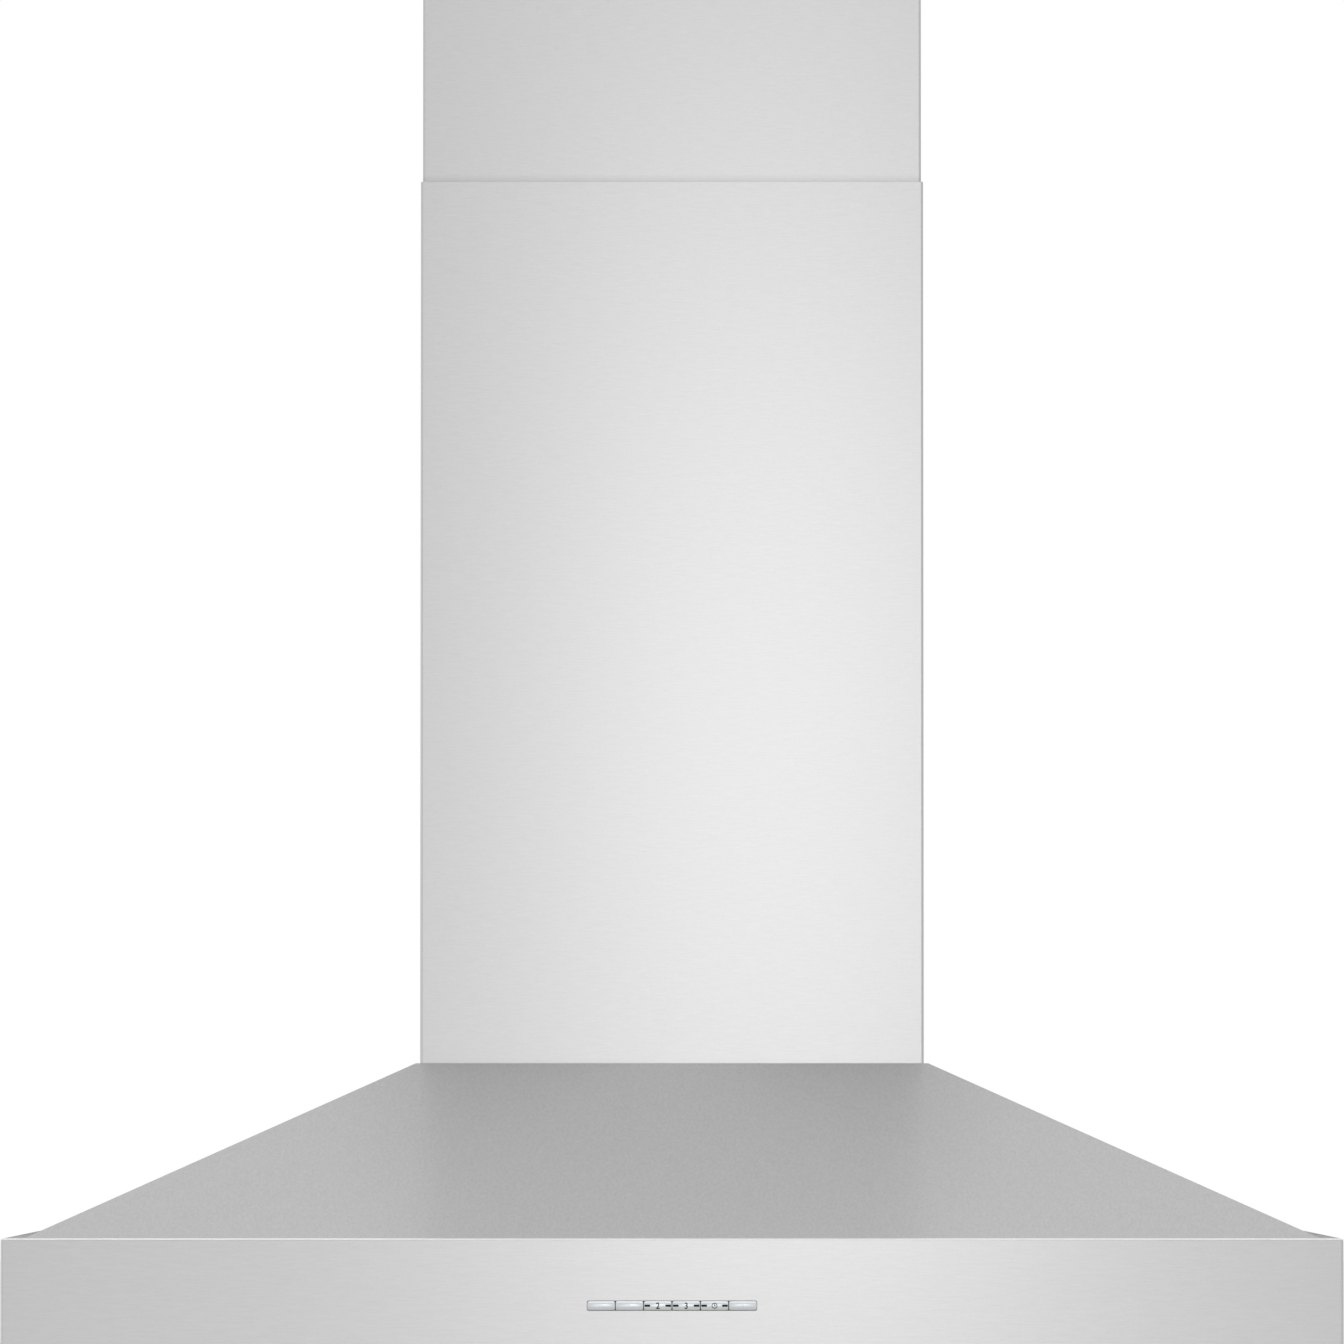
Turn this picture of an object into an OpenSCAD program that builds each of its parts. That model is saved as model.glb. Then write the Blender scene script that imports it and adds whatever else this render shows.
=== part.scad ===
// Wall mount range hood: a pyramid canopy with a telescoping chimney, push buttons,
// three fold-down mesh filters, two lamps and a double-inlet blower with a damper collar.
// X runs along the wall, Y is zero on the wall and falls towards the room, Z is up.
// The origin is the middle of the rear panel's bottom edge, on the wall.

/* [Canopy] */
// Width of the canopy along the wall
canopy_w = 900; // [890:5:1100]
// Depth of the canopy from the wall to the front panel
canopy_d = 500; // [495:5:600]
// Height of the upright front panel
panel_h = 87; // [78:1:110]
// Height of the sloped part above the front panel
rise = 118; // [100:2:180]
// Flat ledge between the front panel and the slopes
ledge = 15; // [8:1:25]
// Thickness of the stainless sheet
sheet = 1; // [0.8:0.1:1.2]
// Outer radius where the sheet is folded
fold_r = 1.6; // [1.4:0.1:2.2]
// Width of the flange turned in along the canopy's bottom edge
rim = 20; // [18:1:22]
// Height of the recess that the fumes gather in, up to the filters
recess = 18; // [14:1:24]

/* [Chimney] */
// Width of the lower chimney cover
chimney_w = 346; // [340:2:380]
// Depth of the lower chimney cover from the wall
chimney_d = 290; // [286:2:320]
// Height of the lower chimney cover
lower_h = 607; // [560:1:700]
// Height of the upper chimney cover
upper_h = 520; // [440:1:540]
// How far the upper cover stands out of the lower one
upper_out = 147; // [136:1:160]
// Gap between the two covers
cover_gap = 0.4; // [0.3:0.1:0.8]
// Width of the flanges that the covers turn in at the wall
cover_return = 22; // [14:1:24]
// How far the slopes' top edge stands out past the chimney
seat_lip = 3; // [1:0.5:6]
// Length of a vent slot in the upper cover's side
vent_l = 46; // [20:1:60]
// Height of a vent slot
vent_h = 4; // [3:0.5:6]
// Distance from one vent slot to the next
vent_pitch = 11; // [9:0.5:12]
// Number of vent slots in a column
vent_rows = 7; // [3:1:8]

/* [Buttons] */
// Distance from one button to the next
button_pitch = 19; // [17:0.5:24]
// Height of a button's face
button_h = 6.4; // [5:0.2:8]
// Gap round each button
button_gap = 0.2; // [0.2:0.05:0.5]
// How far a button stands out of the front panel
button_out = 1.4; // [1.2:0.1:2]
// How far a button travels when it is pressed
button_travel = 1; // [0.5:0.1:1]
// Distance of the buttons' middle below the front panel's top edge
button_drop = 45; // [34:1:46]

/* [Filters] */
// Width of the opening for one filter
bay_w = 268; // [240:2:270]
// Depth of the opening for one filter, from back to front
bay_d = 336; // [310:2:340]
// Width of the bar between two filter openings
bay_bar = 6; // [6:0.5:10]
// Thickness of a filter
filter_t = 9; // [8.5:0.5:10]
// Gap between a filter and its opening
filter_gap = 1; // [0.8:0.1:1.5]
// Width of the channel that frames a filter
channel_w = 11; // [10:1:14]
// Length of a diamond in the filter's mesh
diamond_l = 38; // [34:1:46]
// Height of a diamond in the filter's mesh
diamond_h = 22; // [20:1:28]
// Width of a strand of the mesh
strand = 2.6; // [2:0.1:3.2]
// Radius of the pins that a filter folds down on
hinge_r = 2; // [1.5:0.1:2.4]
// Travel of a filter's latch
latch_travel = 6; // [5:0.5:7]

/* [Lamps] */
// Radius of the hole for a lamp
lamp_r = 30; // [24:1:34]
// Height of a lamp above the panel it sits in
lamp_h = 30; // [24:1:36]
// Distance of a lamp's centre from the middle of the hood
lamp_x = 232; // [210:1:330]

/* [Blower] */
// Room between the chimney covers and the blower's box
box_room = 18; // [15:0.5:19]
// Outer radius of the blower wheel
wheel_r = 82; // [76:1:83]
// Length of the blower wheel along its shaft
wheel_w = 160; // [140:2:166]
// Number of blades round the wheel
blades = 36; // [24:2:40]
// Radial depth of a blade
blade_d = 12; // [10:0.5:14]
// Thickness of a blade
blade_t = 1.2; // [0.8:0.1:1.6]
// How much the scroll widens from its tongue to its outlet
scroll_growth = 38; // [34:1:39]
// Height of the scroll's outlet above the wheel's shaft
outlet_rise = 125; // [120:1:140]
// Thickness of the scroll's wall
scroll_t = 2; // [1.5:0.1:2.5]
// Radius of the motor's body
motor_r = 46; // [36:1:50]
// Radius of the motor's shaft
shaft_r = 4; // [3:0.5:5]
// Thickness of the galvanised sheet
zinc = 1; // [0.8:0.1:1.2]

/* [Duct collar] */
// Outer radius of the collar that the duct slides over
collar_r = 75; // [70:1:76]
// Height of the collar's tube above the blower's box
collar_h = 52; // [44:1:70]
// Thickness of the collar's wall
collar_t = 2; // [1.5:0.1:2.5]
// Radius of the pin that the damper flaps swing on
spindle_r = 1.5; // [1.2:0.1:1.8]
// Thickness of a damper flap
flap_t = 1.2; // [0.8:0.1:1.4]

/* [Wall fixings] */
// Distance between the two hanging holes
hang_pitch = 300; // [200:5:320]
// Height of the hanging holes above the canopy's bottom edge
hang_z = 166; // [140:1:170]
// Radius of a hanging hole
hang_r = 5; // [4:0.5:6]
// Distance between the two securing holes
secure_pitch = 640; // [500:10:700]
// Height of the securing holes above the canopy's bottom edge
secure_z = 58; // [45:1:66]
// Radius of a securing hole
secure_r = 3.5; // [3:0.25:5]
// Distance between the slots in the chimney's wall bracket
bracket_pitch = 200; // [140:5:220]
// Length of a slot in the chimney's wall bracket
bracket_slot = 16; // [10:1:24]
// Half the width of a slot in the chimney's wall bracket
bracket_slot_r = 3; // [2.5:0.25:4]
// Radius of the cable knockout in the junction box
knockout_r = 11.1; // [8:0.1:14]

/* [Hidden] */
$fn = 48;
// How far a cutting shape runs past what it cuts
cut = 1;
// Gap between a piece and its seat
seat = 0.3;
// Radial clearance of a pin in its hole
running = 0.05;
steel = "silver";
shade_steel = "darkgray";
galvanised = "lightsteelblue";
plastic = "dimgray";
alloy = "gainsboro";

half_w = canopy_w / 2;
canopy_h = panel_h + rise;
roof_x = chimney_w / 2 + seat_lip;
roof_y = chimney_d + seat_lip;
lower_top = canopy_h + lower_h;
upper_top = lower_top + upper_out;
upper_half = chimney_w / 2 - sheet - cover_gap;
upper_d = chimney_d - sheet - cover_gap;
upper_back = sheet + cover_gap;

// Screws: one size holds everything that isn't riveted
screw_r = 1.9;
screw_head_r = 3.6;
screw_head_h = 2.2;
screw_hole_r = 2.1;

// The pan under the canopy stands on the bottom flange and has a flange of its own
pan_half = half_w - rim + 2 * sheet;
pan_front = canopy_d - rim + 2 * sheet;
pan_back = rim - 2 * sheet;
pan_flange = 14;
pan_top = recess + sheet;
pan_screws_x = [-canopy_w / 3, 0, canopy_w / 3];
pan_screws_y = [-canopy_d / 4, -canopy_d * 3 / 4];
flange_mid = pan_flange / 2;

// Plates that thicken the rear panel behind the hanging holes
plate_w = 5.6 * 2 * hang_r;
plate_h = 3.8 * 2 * hang_r;
plate_corner = hang_r;
plate_t = 2 * sheet;

// Filter openings and the lip folded up along the sides and the back of each
lip_h = 11;
lip_relief = 30;
bay_back = pan_back + 12;
bay_front = bay_back + bay_d;
bay_pitch = bay_w + bay_bar;
bay_count = 3;
bays = [for (i = [0:bay_count - 1]) (i - (bay_count - 1) / 2) * bay_pitch];
hinge_y = -(bay_back + filter_gap + filter_t / 2);
hinge_z = recess + filter_t / 2;
frame_w = bay_w - 2 * filter_gap;
frame_l = bay_d - 2 * filter_gap - filter_t / 2;
channel_t = 1;
groove_z = filter_t / 2 - channel_t;
pocket_w = 62;
pocket_l = 30;
latch_w = 50;
latch_l = pocket_l - 3 * channel_t - latch_travel - 2 * seat;
latch_lip = 3;
tongue_w = 24;
tongue_t = 2.4;
latch_low = -filter_t / 2 + channel_t + 0.2 + seat;
layer_t = 2.4;

// Lamps
lamp_y = -(bay_front + pan_front) / 2;
bezel_r = lamp_r + 4;
bezel_t = 1.5;
lens_t = 2;

// Boxes of electronics on the pan, between the lamps
module_w = lamp_x - 132;
module_d = 2 * lamp_r;
driver_w = module_w - 12;
driver_d = module_d - 16;

// Buttons and what stands behind the front panel
button_names = ["light", "speed_1", "speed_2", "speed_3", "timer", "boost"];
button_z = panel_h - button_drop;
button_w = button_pitch - 2 * button_gap;
row_w = len(button_names) * button_pitch;
row_x = [for (i = [0:len(button_names) - 1]) (i - (len(button_names) - 1) / 2) * button_pitch];
panel_back = -canopy_d + sheet;
button_corner = 0.8;
button_flange = 1.2;
button_ear = 1.4;
stem_w = 8;
stem_h = 3.6;
pocket_y = panel_back + button_flange + button_travel + 2 * seat;
guide_y = pocket_y + 6;
stem_y = guide_y + 0.8;
switch_top = stem_y + button_travel + seat;
board_y = switch_top + 4;
board_t = 1.6;
housing_w = row_w + 20;
housing_h = 24;
stud_x = row_w / 2 + 6;
stud_r = 1.5;

// Blower
box_half = chimney_w / 2 - box_room;
box_front = chimney_d - box_room;
box_back = 12;
box_flange = 12;
tip_gap = 6;
side_gap = 4;
scroll_half = wheel_w / 2 + side_gap;
scroll_r = wheel_r + tip_gap;
outlet_far = scroll_r + scroll_growth;
outlet_near = outlet_far - 2 * (collar_r - collar_t) - 5;
tongue_a = acos(outlet_near / scroll_r);
shaft_y = -(box_back + zinc + 10 + scroll_t + outlet_far);
shaft_z = canopy_h + zinc + 6 + scroll_t + scroll_at(270);
box_top = shaft_z + outlet_rise + zinc;
throat_r = wheel_r - blade_d - 1;
ring_fit_r = throat_r + 6;
ring_flange_r = ring_fit_r + 7;
arm_r = ring_flange_r + 5;
arm_t = 3;
arm_x = scroll_half + scroll_t + 9;
motor_end = arm_x - 8;
hub_r = 13;

// Duct collar and damper
collar_y = shaft_y + (outlet_far + outlet_near) / 2;
collar_flange = 12;
spindle_z = box_top + 16;
flap_r = collar_r - collar_t - 0.6;
knuckle_r = spindle_r + running + 1.2;
knuckle_l = 16;
flap_edge = knuckle_r + 0.7;
stop_t = 1.5;

// Chimney wall bracket
bracket_h = 30;
bracket_z = upper_top - 24;
bracket_t = 1.5;
bracket_step = 24;
bracket_wing = 26;
wing_x = upper_half - sheet - seat;
strip_half = upper_half - cover_return - 2;

// Junction box, beside the collar on top of the blower's box
jbox_w = 96;
jbox_d = 56;
jbox_h = 44;
jbox_x = -box_half + 12 + jbox_w / 2;
jbox_y = -box_front + 8 + jbox_d / 2;

// Capacitor in its clip, on the other side
cap_r = 17;
cap_l = 66;
cap_x = box_half - 30 - cap_l / 2;
cap_y = jbox_y;
cap_z = box_top + cap_r + seat;
clip_t = 1.2;
clip_w = 16;
clip_foot = 11;

// Angles that hold the lower cover
angle_h = 30;
angle_l = 60;
angle_t = 1.5;
angle_y = -chimney_d / 2;

// Half width of a slope's surface at height z, t inside its outer face
function slope_at(reach, top_reach, t, z) =
    let (run = reach - ledge - top_reach)
    reach - ledge - ((z - panel_h) * run + t * norm([run, rise])) / rise;

// Outline of the canopy's wall, ledge and slope, t inside its outer face
function hood_side(reach, top_reach, t, low, high) = [
    [reach - t, low],
    [reach - t, panel_h - t],
    [slope_at(reach, top_reach, t, panel_h - t), panel_h - t],
    [slope_at(reach, top_reach, t, high), high]
];

// Radius of the scroll's inside at an angle round the shaft
function scroll_at(a) = scroll_r + scroll_growth * (a - tongue_a) / (360 - tongue_a);

// Extrudes a shape drawn in Y and Z along X
module along_x(from, to) {
    translate([from, 0, 0])
        rotate([90, 0, 90])
            linear_extrude(to - from)
                children();
}

// Extrudes a shape drawn in X and Z along Y
module along_y(from, to) {
    translate([0, to, 0])
        rotate([90, 0, 0])
            linear_extrude(to - from)
                children();
}

// Puts what is drawn round Z on the blower's shaft, with Z along X
module on_shaft() {
    translate([0, shaft_y, shaft_z])
        rotate([90, 0, 90])
            children();
}

module ring(outer, inner) {
    difference() {
        circle(outer);
        circle(inner);
    }
}

module rounded_rect(w, h, r) {
    square([w - 2 * r, h], center = true);
    square([w, h - 2 * r], center = true);
    for (x = [-1, 1], y = [-1, 1])
        translate([x * (w / 2 - r), y * (h / 2 - r)])
            circle(r);
}

module slot(length, r) {
    square([length - 2 * r, 2 * r], center = true);
    for (x = [-1, 1])
        translate([x * (length / 2 - r), 0])
            circle(r);
}

// Takes a square corner at the origin off, down to a quarter circle
module corner_cut(r) {
    difference() {
        square(r + cut);
        circle(r);
    }
}

// Plan of a sheet folded round two front corners, open at the wall
module folded_plan(half, depth, r) {
    difference() {
        translate([-half, -depth])
            square([2 * half, depth]);
        for (s = [0, 1])
            mirror([s, 0])
                translate([half - r, -depth + r])
                    mirror([0, 1])
                        corner_cut(r);
    }
}

// Plan of a chimney cover, with the flanges it turns in at the wall
module cover_plan(half, depth) {
    difference() {
        folded_plan(half, depth, fold_r);
        translate([-half + sheet, -depth + sheet])
            square([2 * (half - sheet), depth - 2 * sheet]);
        translate([-half + cover_return, -2 * sheet])
            square([2 * (half - cover_return), 2 * sheet + cut]);
    }
}

// A pan-head screw with its head at the origin and its shank along -Z
module screw(length) {
    cylinder(r = screw_head_r, h = screw_head_h);
    translate([0, 0, -length])
        cylinder(r = screw_r, h = length + screw_head_h / 2);
}

// The solid between the canopy's faces, t inside them
module hood_block(t, low, high, back) {
    front = hood_side(half_w, roof_x, t, low, high);
    side = hood_side(canopy_d, roof_y, t, low, high);
    last = len(front) - 1;
    intersection() {
        along_y(-canopy_d, back)
            polygon(concat(front, [for (i = [last:-1:0]) [-front[i].x, front[i].y]]));
        along_x(-half_w, half_w)
            polygon(concat([[back, low]], [for (p = side) [-p.x, p.y]], [[back, high]]));
    }
}

// Rounds the outer folds of the canopy's upright walls
module hood_folds() {
    for (s = [0, 1])
        mirror([s, 0, 0]) {
            along_y(-canopy_d - cut, cut)
                translate([half_w - fold_r, panel_h - fold_r])
                    corner_cut(fold_r);
            along_y(-canopy_d - cut, cut)
                translate([half_w - fold_r, fold_r])
                    mirror([0, 1])
                        corner_cut(fold_r);
            translate([half_w - fold_r, -canopy_d + fold_r, -cut])
                linear_extrude(panel_h + 2 * cut)
                    mirror([0, 1])
                        corner_cut(fold_r);
        }
    along_x(-half_w - cut, half_w + cut)
        translate([-canopy_d + fold_r, panel_h - fold_r])
            mirror([1, 0])
                corner_cut(fold_r);
    along_x(-half_w - cut, half_w + cut)
        translate([-canopy_d + fold_r, fold_r])
            mirror([1, 0])
                mirror([0, 1])
                    corner_cut(fold_r);
}

module pan_screw_places() {
    for (x = pan_screws_x, y = [-pan_front - flange_mid, -pan_back + flange_mid])
        translate([x, y, 0])
            children();
    for (x = [-1, 1], y = pan_screws_y)
        translate([x * (pan_half + flange_mid), y, 0])
            children();
}

module box_screw_places() {
    for (x = [-1, 1], y = [-box_front + box_flange * 2, -box_back - box_flange * 2])
        translate([x * (box_half - box_flange / 2), y, canopy_h])
            children();
}

module angle_screw_places() {
    for (x = [-1, 1], y = [-1, 1])
        translate([x * (box_half + box_room / 2 - sheet / 2), angle_y + y * angle_l / 3, canopy_h])
            children();
}

module canopy_shell() {
    color(steel) {
        difference() {
            hood_block(0, 0, canopy_h, 0);
            hood_block(sheet, sheet, canopy_h - sheet, cut);
            hood_folds();
            translate([-half_w + rim, -canopy_d + rim, -cut])
                cube([canopy_w - 2 * rim, canopy_d, sheet + 2 * cut]);
            translate([-box_half + box_flange, -box_front + box_flange, canopy_h - sheet - cut])
                cube([2 * (box_half - box_flange), box_front - box_back - 2 * box_flange, sheet + 2 * cut]);
            along_y(-canopy_d - cut, -canopy_d + sheet + cut)
                translate([0, button_z])
                    rounded_rect(row_w, button_h + 2 * button_gap, button_corner + button_gap);
            pan_screw_places()
                translate([0, 0, -cut])
                    cylinder(r = screw_hole_r, h = sheet + 2 * cut);
            box_screw_places()
                translate([0, 0, -sheet - cut])
                    cylinder(r = screw_hole_r, h = sheet + 2 * cut);
            angle_screw_places()
                translate([0, 0, -sheet - cut])
                    cylinder(r = screw_hole_r, h = sheet + 2 * cut);
        }
        for (s = [-1, 1])
            along_y(panel_back - sheet / 2, board_y + board_t)
                translate([s * stud_x, button_z])
                    circle(stud_r);
    }
}

module rear_panel() {
    fit = sheet + seat;
    side = hood_side(half_w, roof_x, fit, 0, canopy_h - fit);
    last = len(side) - 1;
    color(galvanised)
    difference() {
        union() {
            along_y(-sheet, 0)
                polygon(concat(side, [for (i = [last:-1:0]) [-side[i].x, side[i].y]]));
            translate([-half_w + rim + seat, -rim, 0])
                cube([canopy_w - 2 * rim - 2 * seat, rim, sheet]);
        }
        translate([-half_w, -sheet - cut, -cut])
            cube([rim + seat, sheet + 2 * cut, cut + sheet + seat]);
        translate([half_w - rim - seat, -sheet - cut, -cut])
            cube([rim + seat, sheet + 2 * cut, cut + sheet + seat]);
        along_y(-sheet - cut, cut)
            for (s = [-1, 1]) {
                translate([s * hang_pitch / 2, hang_z])
                    circle(hang_r);
                translate([s * secure_pitch / 2, secure_z])
                    circle(secure_r);
            }
        pan_screw_places()
            translate([0, 0, -cut])
                cylinder(r = screw_hole_r, h = sheet + 2 * cut);
    }
}

// Thickens the rear panel round a hanging hole
module hang_plate(side) {
    color(shade_steel)
    along_y(-sheet - plate_t, -sheet)
        translate([side * hang_pitch / 2, hang_z])
            difference() {
                rounded_rect(plate_w, plate_h, plate_corner);
                circle(hang_r);
            }
}

module under_panel() {
    color(steel)
    difference() {
        union() {
            translate([-pan_half, -pan_front, sheet])
                cube([2 * pan_half, pan_front - pan_back, pan_top - sheet]);
            translate([-pan_half - pan_flange, -pan_front - pan_flange, sheet])
                cube([2 * (pan_half + pan_flange), pan_front - pan_back + 2 * pan_flange, sheet]);
            for (x = bays)
                translate([x - bay_w / 2 - sheet, -bay_front + lip_relief, recess])
                    cube([bay_w + 2 * sheet, bay_d + sheet - lip_relief, sheet + lip_h]);
        }
        translate([-pan_half + sheet, -pan_front + sheet, 0])
            cube([2 * (pan_half - sheet), pan_front - pan_back - 2 * sheet, recess]);
        for (x = bays) {
            translate([x - bay_w / 2, -bay_front, 0])
                cube([bay_w, bay_d, pan_top + lip_h + cut]);
            along_x(x - bay_w / 2 - sheet - cut, x + bay_w / 2 + sheet + cut)
                translate([hinge_y, hinge_z])
                    circle(hinge_r + running);
        }
        for (s = [-1, 1])
            translate([s * lamp_x, lamp_y, 0])
                cylinder(r = lamp_r + seat, h = pan_top + cut);
        pan_screw_places()
            cylinder(r = screw_hole_r, h = 3 * sheet);
    }
}

module panel_screws() {
    color(shade_steel)
    pan_screw_places()
        translate([0, 0, 2 * sheet])
            screw(2 * sheet - seat);
}

module lower_cover() {
    color(steel)
    difference() {
        translate([0, 0, canopy_h])
            linear_extrude(lower_h)
                cover_plan(chimney_w / 2, chimney_d);
        translate([-chimney_w, angle_y, canopy_h + angle_h / 2])
            rotate([0, 90, 0])
                cylinder(r = screw_hole_r, h = 2 * chimney_w);
    }
}

module upper_cover() {
    bottom = upper_top - upper_h;
    color(steel)
    difference() {
        translate([0, -upper_back, bottom])
            linear_extrude(upper_h)
                cover_plan(upper_half, upper_d - upper_back);
        along_x(-upper_half - cut, upper_half + cut) {
            for (y = [-upper_d / 3, -upper_d * 2 / 3], i = [0:vent_rows - 1])
                translate([y, upper_top - 42 - i * vent_pitch])
                    slot(vent_l, vent_h / 2);
            translate([-bracket_step - bracket_wing / 2, bracket_z])
                circle(screw_hole_r);
        }
    }
}

// Plan: a strip on the wall, a step past the cover's flange and a wing along its side
module bracket_plan() {
    translate([-strip_half, -bracket_t])
        square([2 * strip_half, bracket_t]);
    for (s = [0, 1])
        mirror([s, 0]) {
            translate([strip_half - bracket_t, -bracket_step])
                square([bracket_t, bracket_step]);
            translate([strip_half - bracket_t, -bracket_step])
                square([wing_x - strip_half + bracket_t, bracket_t]);
            translate([wing_x - bracket_t, -bracket_step - bracket_wing])
                square([bracket_t, bracket_wing + bracket_t]);
        }
}

module wall_bracket() {
    color(galvanised)
    difference() {
        translate([0, 0, bracket_z - bracket_h / 2])
            linear_extrude(bracket_h)
                bracket_plan();
        along_y(-bracket_t - cut, cut)
            for (s = [-1, 1])
                translate([s * bracket_pitch / 2, bracket_z])
                    slot(bracket_slot, bracket_slot_r);
        along_x(-upper_half, upper_half)
            translate([-bracket_step - bracket_wing / 2, bracket_z])
                circle(screw_hole_r);
    }
}

module bracket_screws() {
    color(shade_steel)
    for (s = [-1, 1])
        translate([s * upper_half, -bracket_step - bracket_wing / 2, bracket_z])
            rotate([0, s * 90, 0])
                screw(sheet + bracket_t + 2);
}

module cover_angle(side) {
    inner = box_half + 2;
    outer = chimney_w / 2 - sheet - seat;
    color(galvanised)
    mirror([side > 0 ? 0 : 1, 0, 0])
    difference() {
        along_y(angle_y - angle_l / 2, angle_y + angle_l / 2) {
            translate([inner, canopy_h])
                square([outer - inner, angle_t]);
            translate([outer - angle_t, canopy_h])
                square([angle_t, angle_h]);
        }
        angle_screw_places()
            translate([0, 0, -cut])
                cylinder(r = screw_hole_r, h = angle_t + 2 * cut);
        along_x(inner, outer + cut)
            translate([angle_y, canopy_h + angle_h / 2])
                circle(screw_hole_r);
    }
}

module cover_screws() {
    color(shade_steel) {
        angle_screw_places()
            translate([0, 0, angle_t])
                screw(angle_t + sheet + 2);
        for (s = [-1, 1])
            translate([s * chimney_w / 2, angle_y, canopy_h + angle_h / 2])
                rotate([0, s * 90, 0])
                    screw(sheet + angle_t + 2);
    }
}

module blower_box() {
    height = box_top - canopy_h;
    depth = box_front - box_back;
    color(galvanised)
    difference() {
        translate([-box_half, -box_front, canopy_h])
            cube([2 * box_half, depth, height]);
        translate([-box_half + zinc, -box_front + zinc, canopy_h + zinc])
            cube([2 * (box_half - zinc), depth - 2 * zinc, height - 2 * zinc]);
        translate([-box_half + box_flange, -box_front + box_flange, canopy_h - cut])
            cube([2 * (box_half - box_flange), depth - 2 * box_flange, zinc + 2 * cut]);
        translate([0, collar_y, box_top - zinc - cut])
            cylinder(r = collar_r - collar_t, h = zinc + 2 * cut);
        box_screw_places()
            translate([0, 0, -cut])
                cylinder(r = screw_hole_r, h = zinc + 2 * cut);
        collar_screw_places()
            translate([0, 0, -zinc - cut])
                cylinder(r = screw_hole_r, h = zinc + 2 * cut);
    }
}

module box_screws() {
    color(shade_steel)
    box_screw_places()
        translate([0, 0, zinc])
            screw(zinc + sheet + 2);
}

// Outline of the scroll, t outside its inner face
module scroll_outline(t) {
    steps = 26;
    turn = 360 - tongue_a;
    spiral = [for (i = [0:steps]) let (a = tongue_a + turn * i / steps)
        [(scroll_at(a) + t) * cos(a), (scroll_at(a) + t) * sin(a)]];
    polygon(concat([[0, 0]], spiral));
    translate([outlet_near - t, 0])
        square([outlet_far - outlet_near + 2 * t, outlet_rise]);
}

module scroll(side) {
    color(plastic)
    on_shaft()
    mirror([0, 0, side > 0 ? 0 : 1]) {
        linear_extrude(scroll_half)
            difference() {
                scroll_outline(scroll_t);
                scroll_outline(0);
            }
        translate([0, 0, scroll_half])
            linear_extrude(scroll_t)
                difference() {
                    scroll_outline(scroll_t);
                    circle(ring_fit_r);
                }
    }
}

// Bell mouth that leads the air into the wheel
module inlet_ring(side) {
    face = scroll_half + scroll_t;
    bell = ring_fit_r - throat_r;
    color(plastic)
    on_shaft()
    mirror([0, 0, side > 0 ? 0 : 1])
    rotate_extrude() {
        translate([throat_r, scroll_half - side_gap / 2])
            square([1.5, face - scroll_half + side_gap / 2]);
        translate([throat_r + bell, face])
            intersection() {
                ring(bell, bell - 1.5);
                translate([-bell, 0])
                    square(bell);
            }
        translate([throat_r + bell, face + bell - 1.5])
            square([ring_flange_r - throat_r - bell, 1.5]);
        translate([ring_flange_r - 1.5, face])
            square([1.5, bell]);
    }
}

module blade() {
    inner = wheel_r - blade_d;
    curl = blade_d + 1;
    intersection() {
        ring(wheel_r - 0.5, inner + 0.5);
        translate([inner, curl])
            intersection() {
                ring(curl + blade_t, curl);
                translate([0, -2 * curl])
                    square(2 * curl);
            }
    }
}

module impeller() {
    inner = wheel_r - blade_d;
    end = wheel_w / 2;
    color(galvanised)
    on_shaft() {
        translate([0, 0, -end + 1])
            linear_extrude(wheel_w - 2)
                for (i = [0:blades - 1])
                    rotate(i * 360 / blades)
                        blade();
        for (z = [-end, end - 3])
            translate([0, 0, z])
                linear_extrude(3)
                    ring(wheel_r, inner - 0.5);
        difference() {
            union() {
                translate([0, 0, -1])
                    cylinder(r = inner + blade_d / 2, h = 2);
                translate([0, 0, -14])
                    cylinder(r = hub_r, h = 22);
            }
            translate([0, 0, -20])
                cylinder(r = shaft_r + 0.02, h = 40);
        }
    }
}

module motor_shaft() {
    color(steel)
    on_shaft()
    translate([0, 0, -17])
        cylinder(r = shaft_r, h = motor_end + 11);
}

module motor_body() {
    front = 14;
    length = motor_end - front;
    color(shade_steel)
    on_shaft()
    difference() {
        rotate_extrude()
            polygon([
                [0, front - 4], [hub_r - 2, front - 4], [hub_r - 2, front],
                [motor_r - 4, front], [motor_r, front + 4],
                [motor_r, front + 0.3 * length], [motor_r - 3, front + 0.3 * length + 2],
                [motor_r - 3, front + 0.7 * length - 2], [motor_r, front + 0.7 * length],
                [motor_r, motor_end - 4], [motor_r - 4, motor_end],
                [hub_r + 5, motor_end], [hub_r + 5, arm_x], [0, arm_x]
            ]);
        translate([0, 0, 0])
            cylinder(r = shaft_r + running, h = motor_end - 4);
        for (i = [0:7])
            rotate(i * 45)
                translate([motor_r * 0.7, 0, front - cut])
                    cylinder(r = 4, h = 8);
    }
}

// Three arms that carry the motor in front of the right inlet
module motor_bracket() {
    foot = 11;
    face = scroll_half + scroll_t;
    color(shade_steel)
    on_shaft()
    difference() {
        union() {
            translate([0, 0, arm_x])
                linear_extrude(arm_t) {
                    circle(hub_r + 12);
                    for (a = [90, 210, 330])
                        rotate(a)
                            translate([0, -foot / 2])
                                square([arm_r + foot / 2, foot]);
                }
            for (a = [90, 210, 330])
                rotate(a)
                    translate([arm_r - foot / 2 + 2, -foot / 2, face])
                        cube([foot - 2, foot, arm_x - face + arm_t]);
        }
        for (a = [30, 150, 270])
            rotate(a)
                translate([hub_r + 1, 0, arm_x - cut])
                    cylinder(r = screw_hole_r, h = arm_t + 2 * cut);
    }
}

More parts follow.
